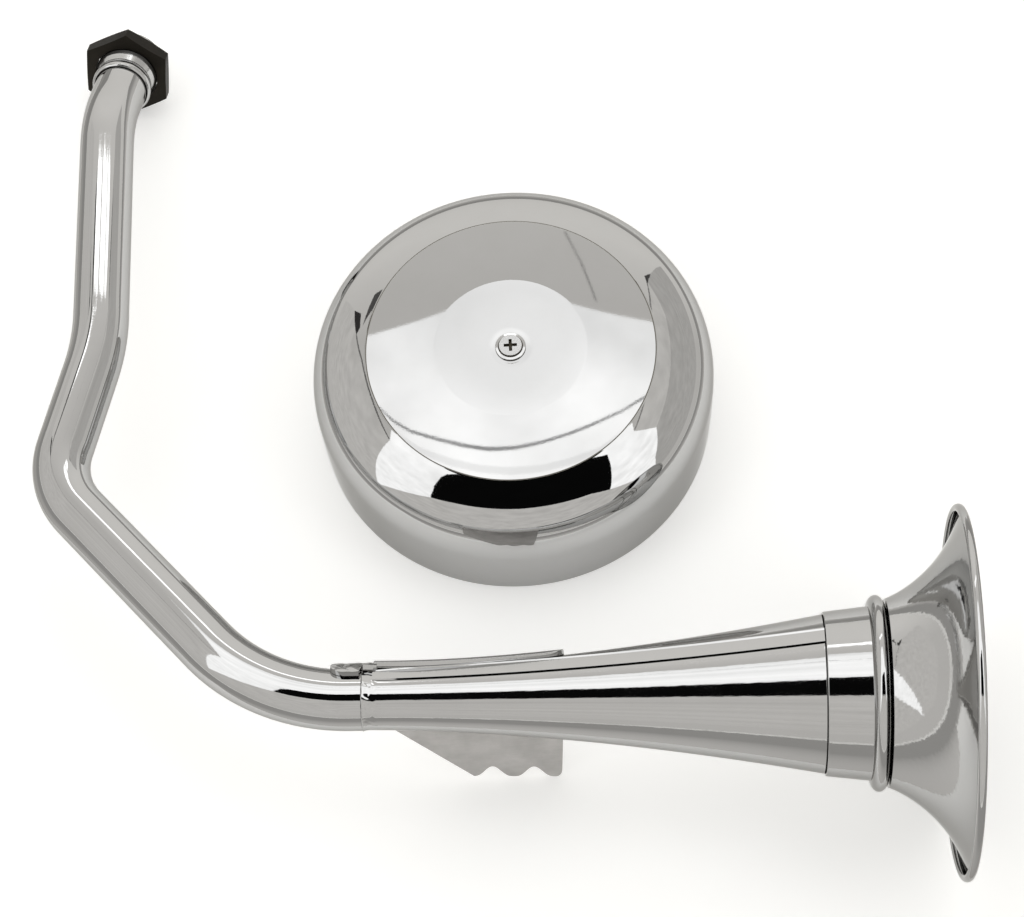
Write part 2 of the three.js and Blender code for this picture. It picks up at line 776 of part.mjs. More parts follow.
function coilBobbin() {
  const bore = coreRadius + seatGap;
  return turnedRing([
    [bore, bobbinLow], [bobbinFlangeRadius, bobbinLow], [bobbinFlangeRadius, bobbinLow + bobbinWall],
    [bobbinTube, bobbinLow + bobbinWall], [bobbinTube, bobbinTop - bobbinWall],
    [bobbinFlangeRadius, bobbinTop - bobbinWall], [bobbinFlangeRadius, bobbinTop], [bore, bobbinTop],
  ]);
}

function coilWinding() {
  const low = bobbinLow + bobbinWall + seatGap;
  return washer(bobbinTube + seatGap, windingRadius, low, bobbinTop - bobbinWall - seatGap);
}

const armatureNutLow = diaphragmLow - seatGap - armatureNutThickness;

function armature() {
  const hubLow = diaphragmTop + seatGap;
  const plate = turned([
    [0, armatureNutLow], [armatureStudRadius, armatureNutLow], [armatureStudRadius, hubLow],
    [armatureHubRadius, hubLow], [armatureHubRadius, armatureLow], [armatureRadius, armatureLow],
    [armatureRadius, armatureTop], [0, armatureTop],
  ]);
  const pinLow = armatureTop - armatureThickness / 2;
  const pinTop = armatureTop + tripPinHeight;
  const pin = disc(tripPinRadius, pinLow, pinTop, holeSides).translate(tripPinPlace, 0, 0);
  return join([plate, pin]);
}

function armatureNut() {
  const bore = armatureStudRadius + seatGap;
  const top = armatureNutLow + armatureNutThickness;
  return plainNut(armatureNutWidth, bore, armatureNutLow, top);
}

const armLow = armatureTop + tripPinHeight + seatGap;
const armTop = armLow + armThickness;
const pointLow = armLow - contactHeight;
const fixedArmTop = armLow - contactHeight - seatGap - fixedArmDrop;
const blockStart = armHingePlace - armHalfWidth * 2;
const blockLow = ceiling - seatGap - blockHeight;

function movingContactArm() {
  const strip = box([armTipPlace, armHingePlace - seatGap], [-armHalfWidth, armHalfWidth], [armLow, armTop]);
  const point = disc(contactRadius, pointLow, armTop - armThickness / 2, holeSides)
    .translate(contactPlace, 0, 0);
  return join([strip, point]);
}

function contactArmPost() {
  const foot = [armHingePlace, armHingePlace + postThickness];
  return box(foot, [-armHalfWidth, armHalfWidth], [armLow, blockLow - seatGap]);
}

function fixedContactArm() {
  const end = armHingePlace + postThickness + seatGap + postThickness;
  const wide = [-armHalfWidth, adjusterPlaceY + adjusterRadius];
  const strip = box([end - fixedArmReach, end], wide, [fixedArmTop - armThickness, fixedArmTop]);
  const riser = box([end - postThickness, end], wide, [fixedArmTop - armThickness, blockLow - seatGap]);
  const point = disc(contactRadius, fixedArmTop - armThickness / 2, pointLow - seatGap, holeSides)
    .translate(contactPlace, 0, 0);
  return join([strip, riser, point]);
}

function contactBlock() {
  const wide = [-armHalfWidth * 2, armHalfWidth + seatGap];
  return box([blockStart, blockStart + blockLength], wide, [blockLow, ceiling - seatGap]);
}

function adjustingScrew() {
  const low = fixedArmTop + seatGap;
  const top = housingTop + adjusterStandProud;
  const screw = disc(adjusterRadius, low, top, holeSides);
  const wide = adjusterRadius + cutOverrun;
  const slot = box([-wide, wide], [-slotWidth / 2, slotWidth / 2], [top - slotDepth, top + cutOverrun]);
  return cut(screw, [slot]).translate(adjusterPlaceX, adjusterPlaceY, 0);
}

function lockNut() {
  const low = housingTop + seatGap;
  const nut = plainNut(lockNutWidth, adjusterRadius + seatGap, low, low + lockNutThickness);
  return nut.translate(adjusterPlaceX, adjusterPlaceY, 0);
}

const bushTop = housingTop + seatGap + bushFlangeHeight;
const bushLow = ceiling - bushBelow;

function terminalBush() {
  const bore = terminalRadius + seatGap;
  return turnedRing([
    [bore, bushLow], [bushRadius, bushLow], [bushRadius, housingTop + seatGap],
    [bushFlangeRadius, housingTop + seatGap], [bushFlangeRadius, bushTop], [bore, bushTop],
  ], holeSides);
}

function terminalStud() {
  const seat = bushLow - seatGap;
  const low = seat - terminalHeadHeight;
  const top = housingTop + terminalStandProud;
  return turned([
    [0, low], [terminalHeadRadius, low], [terminalHeadRadius, seat], [terminalRadius, seat],
    [terminalRadius, top], [0, top],
  ], holeSides);
}

function terminalNut() {
  const low = bushTop + seatGap;
  const bore = terminalRadius + seatGap;
  return plainNut(terminalNutWidth, bore, low, low + terminalNutThickness);
}

function terminals() {
  return [['a', terminalPlaceY], ['b', -terminalPlaceY]].flatMap(([letter, y]) => [
    named(`terminal_bush_${letter}`, terminalBush().translate(terminalPlaceX, y, 0), phenolic),
    named(`terminal_stud_${letter}`, terminalStud().translate(terminalPlaceX, y, 0), brassFinish),
    named(`terminal_nut_${letter}`, terminalNut().translate(terminalPlaceX, y, 0), brassFinish),
  ]);
}

function driver() {
  const group = new THREE.Group();
  group.add(
    named('dome_cover', domeCover(), chrome),
    named('cover_screw', coverScrew(), chrome),
    named('sound_plate', soundPlate(), castAlloy),
    named('front_gasket', flangeGasket(frontGasketTop), fibre),
    named('diaphragm', diaphragm(), plainSteel),
    named('back_gasket', flangeGasket(backGasketTop), fibre),
    named('driver_housing', driverHousing(), blackPaint),
    named('pole_core', poleCore(), plainSteel),
    named('pillar_nut', pillarNut(), plainSteel),
    named('coil_bobbin', coilBobbin(), phenolic),
    named('coil_winding', coilWinding(), copperWire),
    named('armature', armature(), plainSteel),
    named('armature_nut', armatureNut(), brassFinish),
    named('moving_contact_arm', movingContactArm(), brassFinish),
    named('contact_arm_post', contactArmPost(), brassFinish),
    named('fixed_contact_arm', fixedContactArm(), brassFinish),
    named('contact_block', contactBlock(), phenolic),
    named('adjusting_screw', adjustingScrew(), plainSteel),
    named('lock_nut', lockNut(), plainSteel),
    ...terminals(),
  );
  flangeScrewPlaces().forEach((place, i) => {
    group.add(named(`flange_screw_${i + 1}`, flangeScrew(place), plainSteel));
  });
  return group;
}

// The whole set, centred over its footprint on the surface that it lies on

const set = new THREE.Group();
const horn = trumpet();
horn.position.z = bellRimRadius;
const power = driver();
power.position.set(coverAlong, coverBehind, 0);
set.add(horn, power);
const bounds = new THREE.Box3().setFromObject(set, true);
const middle = bounds.getCenter(new THREE.Vector3());
set.position.set(-middle.x, -middle.y, -bounds.min.z);

export default set;
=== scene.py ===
# %% [markdown]
# # A chromed trumpet horn, laid out as two units
#
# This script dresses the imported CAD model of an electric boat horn. One unit is the bent trumpet with
# its black nut and its bracket. The other is the driver, which stands on its outlet under a round
# polished cover. The CAD parts give the place and the size of everything. Here they are made again
# with fine curves and softened corners, and each gets the finish of the real metal.

import math

import bmesh
import bpy
from mathutils import Matrix, Vector, noise


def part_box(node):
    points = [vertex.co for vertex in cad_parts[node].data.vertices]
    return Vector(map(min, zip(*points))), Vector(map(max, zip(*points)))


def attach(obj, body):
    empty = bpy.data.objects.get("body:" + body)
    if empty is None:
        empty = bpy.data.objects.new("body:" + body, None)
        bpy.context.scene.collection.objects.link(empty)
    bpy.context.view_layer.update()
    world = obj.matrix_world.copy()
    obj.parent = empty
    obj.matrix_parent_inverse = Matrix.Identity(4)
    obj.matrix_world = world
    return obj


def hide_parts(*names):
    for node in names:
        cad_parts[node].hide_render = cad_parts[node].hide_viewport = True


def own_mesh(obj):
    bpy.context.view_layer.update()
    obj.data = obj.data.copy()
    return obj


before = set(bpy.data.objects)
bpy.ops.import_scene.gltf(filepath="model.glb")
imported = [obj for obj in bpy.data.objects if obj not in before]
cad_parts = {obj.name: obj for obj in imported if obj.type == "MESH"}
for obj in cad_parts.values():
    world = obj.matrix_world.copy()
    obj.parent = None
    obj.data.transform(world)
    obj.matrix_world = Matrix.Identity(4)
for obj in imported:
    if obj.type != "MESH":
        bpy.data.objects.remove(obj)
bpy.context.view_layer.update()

# %% [markdown]
# ## Units, colours and nodes
# Sizes are written in millimetres, as on a drawing, and Blender works in metres, so one factor turns
# them. Colours are written as sRGB hex values, which is how they look on a screen, but shaders add
# light, so they need linear values. One function makes that change. One more adds a node to a
# material, sets it and links it, so that every material below reads as a list of its parts, and a last
# one joins the ends of that list to the shader.

# %% Units, colours and nodes
MM = 0.001
MERGE_DISTANCE = 1e-7


def srgb(code):
    """Linear colour with alpha from an sRGB hex value such as #C8C9CB."""
    shares = [int(code[i:i + 2], 16) / 255 for i in (1, 3, 5)]
    linear = [s / 12.92 if s <= 0.04045 else ((s + 0.055) / 1.055) ** 2.4 for s in shares]
    return (*linear, 1.0)


def add_node(tree, kind, settings=None, links=None):
    """Adds a node. Names or numbers of inputs, or names of properties, lead to their values."""
    node = tree.nodes.new("ShaderNode" + kind)
    for name, value in (settings or {}).items():
        if isinstance(name, int) or name in node.inputs:
            node.inputs[name].default_value = value
        else:
            setattr(node, name, value)
    for name, output in (links or {}).items():
        tree.links.new(output, node.inputs[name])
    return node


def new_material(name, **sockets):
    """A material with one Principled BSDF, whose own sockets are set by name."""
    material = bpy.data.materials.new(name)
    material.use_nodes = True
    shader = material.node_tree.nodes["Principled BSDF"]
    for socket, value in sockets.items():
        shader.inputs[socket.replace("_", " ")].default_value = value
    print("material", name)
    return material, material.node_tree, shader


def join_up(tree, shader, tint, gloss, bump=None):
    """Links a material's last nodes to its shader: the colour, the roughness and the bump."""
    tree.links.new(tint.outputs[2], shader.inputs["Base Color"])
    tree.links.new(gloss.outputs["Result"], shader.inputs["Roughness"])
    if bump:
        tree.links.new(bump.outputs["Normal"], shader.inputs["Normal"])


# %% [markdown]
# ## Camera
# The photograph looks down on the set from the front, 65 degrees above the table, with a long lens.
# A camera is a point, a target and a roll about its line of sight. The matrix below is built from its
# three directions, because that leaves no doubt about which way the roll goes.

# %% Camera
IMAGE_WIDTH = 1024
SENSOR_WIDTH = 36.0
FOCAL_PIXELS = 3000.0
CAMERA_AZIMUTH, CAMERA_ELEVATION, CAMERA_ROLL = 5.458, 64.727, 5.887
CAMERA_DISTANCE = 977.4
CAMERA_TARGET = Vector((7.278, -11.389, 30.0))
SIGHT_METRES = 20.0

azimuth, elevation, roll = map(math.radians, (CAMERA_AZIMUTH, CAMERA_ELEVATION, CAMERA_ROLL))
toward = Vector((
    math.cos(elevation) * math.sin(azimuth),
    -math.cos(elevation) * math.cos(azimuth),
    math.sin(elevation),
))
level = Vector((math.cos(azimuth), math.sin(azimuth), 0.0))
upright = toward.cross(level)
right = level * math.cos(roll) - upright * math.sin(roll)
up = upright * math.cos(roll) + level * math.sin(roll)

camera_data = bpy.data.cameras.new("camera")
camera_data.sensor_fit = "HORIZONTAL"
camera_data.sensor_width = SENSOR_WIDTH
camera_data.lens = FOCAL_PIXELS / IMAGE_WIDTH * SENSOR_WIDTH
camera_data.clip_end = SIGHT_METRES
camera = bpy.data.objects.new("camera", camera_data)
place = (CAMERA_TARGET + toward * CAMERA_DISTANCE) * MM
camera.matrix_world = Matrix.Translation(place) @ Matrix((right, up, toward)).transposed().to_4x4()
bpy.context.scene.collection.objects.link(camera)
bpy.context.scene.camera = camera
bpy.context.scene.view_settings.view_transform = "Standard"
print("camera at", [round(value, 3) for value in place], "lens", round(camera_data.lens, 1))

# %% [markdown]
# ## Floor and walls
# Mirror-bright metal has almost no colour of its own: it shows the room. So the room comes first. The
# floor is a plain pale sheet. The world is an even, slightly warm light grey, which stands for the
# cloth walls of a studio tent, a little lighter at the far side. The camera and the chrome see the
# floor's white through Light Path, and the objects get no extra light from that.

# %% Floor and walls
FLOOR_METRES = 12.0
FLOOR_DROP = 0.1
FLOOR_LIFT = 0.36
WALL_TINT = (1.0, 0.978, 0.94)
NEAR_WALL, FAR_WALL, WALL_TURN = 0.82, 1.06, (0.5, 0.85)

floor_mesh = bpy.data.meshes.new("floor")
half = FLOOR_METRES / 2
floor_corners = [(-half, -half, 0), (half, -half, 0), (half, half, 0), (-half, half, 0)]
floor_mesh.from_pydata(floor_corners, [], [(0, 1, 2, 3)])
floor = bpy.data.objects.new("floor", floor_mesh)
floor.location.z = -FLOOR_DROP * MM
bpy.context.scene.collection.objects.link(floor)

paper, tree, shader = new_material("white_paper_sheet", Roughness=0.9, Specular_IOR_Level=0.2)
shader.inputs["Base Color"].default_value = srgb("#E6E6E4")
shader.inputs["Emission Color"].default_value = (1, 1, 1, 1)
path = add_node(tree, "LightPath")
seen = add_node(tree, "Math", {"operation": "MAXIMUM"}, {
    0: path.outputs["Is Camera Ray"], 1: path.outputs["Is Glossy Ray"],
})
lift = add_node(tree, "Math", {"operation": "MULTIPLY", 1: FLOOR_LIFT}, {0: seen.outputs[0]})
tree.links.new(lift.outputs[0], shader.inputs["Emission Strength"])
floor_mesh.materials.append(paper)

world = bpy.data.worlds.new("studio_walls")
bpy.context.scene.world = world
world.use_nodes = True
tree = world.node_tree
background = tree.nodes["Background"]
direction = add_node(tree, "TexCoord")
axes = add_node(tree, "SeparateXYZ", {}, {0: direction.outputs["Generated"]})
depth = add_node(tree, "MapRange", {"From Min": WALL_TURN[0], "From Max": WALL_TURN[1],
                                    "To Min": NEAR_WALL, "To Max": FAR_WALL},
                 {"Value": axes.outputs["Y"]})
path = add_node(tree, "LightPath")
strength = add_node(tree, "Mix", {"data_type": "FLOAT", 3: 1.0}, {
    0: path.outputs["Is Camera Ray"], 2: depth.outputs["Result"],
})
tint = add_node(tree, "Mix", {"data_type": "RGBA", 6: (*WALL_TINT, 1), 7: (1, 1, 1, 1)},
                {0: path.outputs["Is Camera Ray"]})
tree.links.new(strength.outputs[0], background.inputs["Strength"])
tree.links.new(tint.outputs[2], background.inputs["Color"])
print("floor", FLOOR_METRES, "m wide, walls from", NEAR_WALL, "to", FAR_WALL)

# %% [markdown]
# ## Axes of the two units
# The bell's axis lies level, and its height is the bell's radius, because the horn rests on the rim.
# The cover's axis is upright. Both are read from the CAD boxes, so the pieces follow if the part moves.

# %% Axes of the two units
SEAT_GAP = 0.3

bell_low, bell_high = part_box("bell_flare")
cone_low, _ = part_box("throat_cone")
cover_low, cover_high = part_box("dome_cover")
bell_start = Vector((cone_low.x - SEAT_GAP * MM, *((bell_low + bell_high) / 2).yz))
bell_place = Matrix.Translation(bell_start) @ Matrix.Rotation(math.pi / 2, 4, "Y")
horn_place = Matrix.Translation(bell_start)
cover_axis = Vector((*((cover_low + cover_high) / 2).xy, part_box("sound_plate")[0].z))
cover_place = Matrix.Translation(cover_axis)
print("bell axis from", bell_start[:], "cover axis at", cover_axis[:])

# %% [markdown]
# ## Studio cards
# A photographer puts polished metal in a white cloth tent with a window for the lens. White cloth
# draws the bright bands, the dark window draws the black core beside them, and that contrast is what
# the eye reads as chrome. An even room would leave the metal flat and lifeless. The tent's roof is laid
# out here as flat cards high above the set, in millimetres from the cover's axis: the places were
# worked out from which way each part of the cover faces. The cloth sags in a few folds, which the
# cover shows as thin grey arcs. The camera doesn't see the cards.

# %% Studio cards
CARD_HEIGHT = 1200.0
NEUTRAL = (1.0, 1.0, 1.0)
BLACK = 0.004
WINDOW_LEFT = [(-370, -137), (-411, -166), (-449, -218), (-513, -304), (-565, -396), (-659, -536)]
ROOF = [
    # name, glow, tint, corners from the cover's axis
    ("lit_roof", 1.8, NEUTRAL, [(-711, 80), WINDOW_LEFT[0], (444, -42), (600, 100), (300, 640),
                                (-44, 672), (-430, 620)]),
    ("lit_left_fold", 1.75, NEUTRAL, [WINDOW_LEFT[0], (-711, 80), (-1778, -566), (-4500, -2133),
                                      (-711, -624), *WINDOW_LEFT[:0:-1]]),
    ("lit_right_fold", 1.75, NEUTRAL, [(600, 100), (444, -42), (880, -722), (4500, -1933),
                                       (1778, -522), (933, 78)]),
    ("lens_window", BLACK, NEUTRAL, [(444, -42), *WINDOW_LEFT, (-711, -624), (-480, -600), (0, -620),
                                     (560, -590), (880, -722)]),
    ("near_wall", 0.86, WALL_TINT, [(-711, -624), (-4500, -2133), (-3000, -5500), (3000, -5500),
                                    (4500, -1933), (880, -722), (560, -590), (0, -620),
                                    (-480, -600)]),
    ("left_wall", 0.86, WALL_TINT, [(-711, 80), (-778, 278), (-933, 678), (-1444, 1469),
                                    (-5000, 5000), (-6000, -1500), (-4500, -2133), (-1778, -566)]),
    ("right_wall", 0.68, WALL_TINT, [(933, 78), (1778, -522), (4500, -1933), (6000, -1500),
                                     (4000, 6000), (1111, 1789), (867, 1434), (980, 1078),
                                     (950, 500)]),
    ("right_panel", 0.88, WALL_TINT, [(600, 100), (933, 78), (950, 500), (980, 1078), (867, 1434),
                                      (778, 1078), (667, 411)]),
    # a strip light behind the roof for the neck, in three parts: the throat cone looks through the first
    # gap and the bell's collar through the second, so that neither shows a second bright line
    ("strip_light_left", 2.6, NEUTRAL, [(-820, 1190), (-740, 1140), (-433, 1072), (-350, 1076),
                                        (-350, 1246), (-445, 1242), (-800, 1325), (-850, 1290)]),
    ("strip_light_middle", 2.6, NEUTRAL, [(-262, 1080), (20, 1092), (185, 1142), (185, 1317),
                                          (15, 1262), (-262, 1250)]),
    ("strip_light_right", 2.6, NEUTRAL, [(240, 1159), (440, 1220), (520, 1290), (525, 1380),
                                         (440, 1400), (240, 1335)]),
]
FOLD_DROP = 4.0
FOLDS = [
    # dark seams where the cloth gathers and soft folds across the roof, a little below it
    ("left_corner", 0.05, WALL_TINT, [(-1444, 1469), (-1100, 960), (-1050, 1010), (-1130, 1200)]),
    ("left_seam", 0.2, WALL_TINT, [(-1106, 960), (-941, 678), (-786, 278), (-719, 85), (-707, 85),
                                   (-772, 278), (-925, 678), (-1086, 960)]),
    ("right_corner", 0.1, WALL_TINT, [(1111, 1789), (930, 1500), (850, 1360), (872, 1500)]),
    ("right_seam", 0.3, WALL_TINT, [(874, 1434), (785, 1078), (673, 411), (605, 108), (596, 108),
                                    (661, 411), (771, 1078), (860, 1434)]),
    ("strip_edge", 0.12, WALL_TINT, [(-820, 1190), (-900, 1180), (-1010, 1000), (-1000, 1330),
                                     (-850, 1320), (-850, 1290)]),
    ("roof_fold", 0.5, NEUTRAL, [(-300, 520), (-263, 485), (-238, 460), (-208, 441), (-169, 430),
                                 (-125, 419), (-84, 412), (-45, 414), (-10, 422), (31, 434), (75, 450),
                                 (123, 470), (163, 494), (210, 530), (210, 523), (163, 488), (123, 464),
                                 (75, 443), (31, 427), (-10, 414), (-45, 405), (-84, 402), (-125, 410),
                                 (-169, 422), (-208, 434), (-238, 454), (-263, 480), (-300, 515)]),
    ("roof_wave", 1.52, NEUTRAL, [(-262, 460), (-230, 431), (-194, 405), (-145, 384), (-97, 370),
                                  (-50, 365), (-4, 367), (42, 378), (91, 396), (130, 428), (175, 480),
                                  (172, 460), (126, 412), (89, 382), (43, 362), (-4, 350), (-50, 347),
                                  (-97, 353), (-145, 367), (-195, 390), (-226, 418), (-262, 450)]),
    ("wrinkle", 0.45, WALL_TINT, [(35, 856), (56, 770), (71, 678), (75, 678), (60, 770), (39, 856)]),
]
CLOTH_WAVE = 170.0
UNEVENNESS = 0.1
ROOF_FALL_START, ROOF_FALL_END, ROOF_FALL = 530.0, 600.0, 0.84


def lit_cloth(name, glow, tint, far_share):
    """White cloth with light behind it: uneven, and on the roof dimmer toward the far edge."""
    material, tree, shader = new_material(name, Roughness=1.0, Specular_IOR_Level=0.0)
    shader.inputs["Base Color"].default_value = (0.0, 0.0, 0.0, 1)
    shader.inputs["Emission Color"].default_value = (*tint, 1)
    place = add_node(tree, "TexCoord")
    waves = add_node(tree, "TexNoise", {"Scale": 1 / (CLOTH_WAVE * MM), "Detail": 3.0},
                     {"Vector": place.outputs["Object"]})
    level = add_node(tree, "MapRange", {"From Min": 0.3, "From Max": 0.7,
                                        "To Min": glow * (1 - UNEVENNESS),
                                        "To Max": glow * (1 + UNEVENNESS)},
                     {"Value": waves.outputs["Fac"]})
    axes = add_node(tree, "SeparateXYZ", {}, {0: place.outputs["Object"]})
    fall = add_node(tree, "MapRange", {"From Min": cover_axis.y + ROOF_FALL_START * MM,
                                       "From Max": cover_axis.y + ROOF_FALL_END * MM,
                                       "To Min": 1.0, "To Max": far_share},
                    {"Value": axes.outputs["Y"]})
    both = add_node(tree, "Math", {"operation": "MULTIPLY"},
                    {0: level.outputs["Result"], 1: fall.outputs["Result"]})
    tree.links.new(both.outputs[0], shader.inputs["Emission Strength"])
    return material


def card(name, glow, tint, corners, height):
    """A flat glowing sheet over the set, which the camera doesn't see."""
    mesh = bpy.data.meshes.new(name)
    centre = cover_axis / MM
    points = [((centre.x + x) * MM, (centre.y + y) * MM, height * MM) for x, y in corners]
    mesh.from_pydata(points, [], [tuple(range(len(corners)))])
    sheet = bpy.data.objects.new(name, mesh)
    bpy.context.scene.collection.objects.link(sheet)
    sheet.visible_camera = False
    far_share = ROOF_FALL if name == "lit_roof" else 1.0
    mesh.materials.append(lit_cloth(name + "_cloth", glow, tint, far_share))


for name, glow, tint, corners in ROOF:
    card(name, glow, tint, corners, CARD_HEIGHT)
for name, glow, tint, corners in FOLDS:
    card(name, glow, tint, corners, CARD_HEIGHT - FOLD_DROP)
print(len(ROOF) + len(FOLDS), "cards at", CARD_HEIGHT, "mm")

# %% [markdown]
# ## The dim surround
# The white paper ends just outside the picture, and past it the studio's bench falls away into shade.
# Only mirrors see this: it gives every tube and rim its darker outline, as on the photographed horn. It
# is one flat frame round the picture whose glow fades with the distance from the middle.

# %% Dim surround
BENCH_INNER = [(-200, -190), (195, -190), (195, 180), (-200, 180)]
BENCH_OUTER = [(-1500, -1500), (1500, -1500), (1500, 1500), (-1500, 1500)]
BENCH_HEIGHT = 1.0
SHADE_START, SHADE_END, SHADE_NEAR, SHADE_FAR = 190.0, 330.0, 0.86, 0.48

shade, tree, shader = new_material("shaded_bench", Roughness=1.0, Specular_IOR_Level=0.0)
shader.inputs["Base Color"].default_value = (0.0, 0.0, 0.0, 1)
shader.inputs["Emission Color"].default_value = (*WALL_TINT, 1)
place = add_node(tree, "TexCoord")
around = add_node(tree, "VectorMath", {"operation": "DISTANCE", 1: tuple(cover_axis)},
                  {0: place.outputs["Object"]})
fade = add_node(tree, "MapRange", {"From Min": SHADE_START * MM, "From Max": SHADE_END * MM,
                                   "To Min": SHADE_NEAR, "To Max": SHADE_FAR},
                {"Value": around.outputs["Value"]})
tree.links.new(fade.outputs["Result"], shader.inputs["Emission Strength"])

mesh = bpy.data.meshes.new("bench_surround")
mesh.from_pydata([(cover_axis.x + x * MM, cover_axis.y + y * MM, BENCH_HEIGHT * MM)
                  for x, y in BENCH_INNER + BENCH_OUTER], [],
                 [(i, (i + 1) % 4, (i + 1) % 4 + 4, i + 4) for i in range(4)])
surround = bpy.data.objects.new("bench_surround", mesh)
bpy.context.scene.collection.objects.link(surround)
surround.visible_camera = False
surround.visible_diffuse = False
surround.visible_shadow = False
mesh.materials.append(shade)
print("bench from", SHADE_NEAR, "to", SHADE_FAR)

# %% [markdown]
# ## Making the pieces
# Most of this horn is round, so most pieces are an outline turned about an axis, as on a lathe. Blender
# has a Screw modifier for that, but plain mesh code gives closed rings with no seam to weld. No real
# edge is sharp: `soften` rounds each corner of an outline, and a mirror finish shows that at once as a
# thin bright line. Beside each rounding it puts one more point, which keeps the flats flat in the
# smooth shading.

# %% Helpers for meshes
SMOOTH_TURN = math.radians(16)
SHARP_EDGE = 38.0
FINE_SIDES = 192
PLAIN_SIDES = 96
SUPPORT, CORNER_SHARE = 1.25, 0.38


def soften(outline, rounding, steps=4):
    """Rounds each clear corner of a closed (radius, height) outline, sizes in millimetres."""
    points = [Vector(point) for point in outline]
    rounded = []
    for i, corner in enumerate(points):
        back = points[i - 1] - corner
        ahead = points[(i + 1) % len(points)] - corner
        turn = math.pi - back.angle(ahead)
        if turn < SMOOTH_TURN or corner.x < MERGE_DISTANCE:
            rounded.append(corner)
            continue
        reach = min(rounding * math.tan(turn / 2), CORNER_SHARE * back.length,
                    CORNER_SHARE * ahead.length)
        start, end = corner + back.normalized() * reach, corner + ahead.normalized() * reach
        rounded.append(corner + back.normalized() * reach * SUPPORT)
        for step in range(steps + 1):
            share = step / steps
            rounded.append(start.lerp(corner, share).lerp(corner.lerp(end, share), share))
        rounded.append(corner + ahead.normalized() * reach * SUPPORT)
    return [tuple(point) for point in rounded]


def finished(name, work, place=None):
    """Turns mesh work into a smooth-shaded object at its place."""
    bmesh.ops.remove_doubles(work, verts=work.verts, dist=MERGE_DISTANCE)
    bmesh.ops.recalc_face_normals(work, faces=work.faces)
    mesh = bpy.data.meshes.new(name)
    work.to_mesh(mesh)
    work.free()
    mesh.shade_smooth()
    mesh.set_sharp_from_angle(angle=math.radians(SHARP_EDGE))
    piece = bpy.data.objects.new(name, mesh)
    piece.matrix_world = place or Matrix()
    bpy.context.scene.collection.objects.link(piece)
    print(name, len(mesh.polygons), "faces")
    return piece


def join_rings(work, rings, closed=True):
    """Skins a list of rings of vertices, each ring closed in itself."""
    count = len(rings[0])
    for step in range(len(rings) if closed else len(rings) - 1):
        here, there = rings[step], rings[(step + 1) % len(rings)]
        for i in range(count):
            j = (i + 1) % count
            work.faces.new((here[i], there[i], there[j], here[j]))


def turned(name, outline, place, sides=PLAIN_SIDES):
    """A closed (radius, height) outline turned about the local Z axis."""
    work = bmesh.new()
    rings = []
    for step in range(sides):
        angle = 2 * math.pi * step / sides
        across, along = math.cos(angle), math.sin(angle)
        rings.append([work.verts.new((r * across * MM, r * along * MM, h * MM)) for r, h in outline])
    join_rings(work, rings)
    return finished(name, work, place)


def dress(piece, body, material, slot, *nodes):
    """Gives a piece its finish, its body and the CAD nodes that it stands for."""
    piece.data.materials.append(material)
    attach(piece, body)
    if nodes:
        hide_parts(*nodes)


def settle(piece):
    """Moves a piece's turn and place into its mesh, so that its own box is its true box."""
    piece.data.transform(piece.matrix_world)
    piece.matrix_world = Matrix()
    return piece


def trim(piece, cutter, operation="DIFFERENCE"):
    """Cuts a piece with another mesh, as a milling cutter does, and removes the cutter."""
    modifier = piece.modifiers.new("cut", "BOOLEAN")
    modifier.operation = operation
    modifier.solver = "EXACT"
    modifier.object = cutter
    bpy.context.view_layer.update()
    evaluated = piece.evaluated_get(bpy.context.evaluated_depsgraph_get())
    mesh = bpy.data.meshes.new_from_object(evaluated)
    piece.modifiers.clear()
    piece.data = mesh
    bpy.data.objects.remove(cutter)
    mesh.shade_smooth()
    mesh.set_sharp_from_angle(angle=math.radians(SHARP_EDGE))


def bevel_edges(piece, width, angle=40, segments=3):
    """Rounds the sharp edges of a piece and keeps its flat faces flat."""
    modifier = piece.modifiers.new("edges", "BEVEL")
    modifier.width = width * MM
    modifier.segments = segments
    modifier.limit_method = "ANGLE"
    modifier.angle_limit = math.radians(angle)
    modifier.harden_normals = True
    return piece


# %% [markdown]
# ## Finish: bright nickel-chromium plating
# The horn's sheet brass is polished, plated with nickel for depth and flashed with chromium against
# tarnish. Chromium gives back a little over half of the light, with hardly any colour. The edge tint is
# a light grey, which keeps the metal from flaring up to white where it is seen at a low angle. What tells
# plated brass from a perfect mirror is small: a soft unevenness of the polish, faint buffing marks, and
# a film of dust and finger smears that changes the gloss by patches. Those go into roughness and bump.
# Each kind of piece has its own amounts: the cover is the smoothest, and the small turned parts are the
# dullest.

# %% Nickel-chromium plating
SMEAR_SIZE = 14.0
# real buffing marks are some 0.05 mm apart, and are drawn ten times as coarse to show at all
BUFF_SPACING = 0.5
RIPPLE_SIZE = 9.0
RIPPLE_DEPTH_SHARE = 0.5
EDGE_TINT = "#C8C7C5"


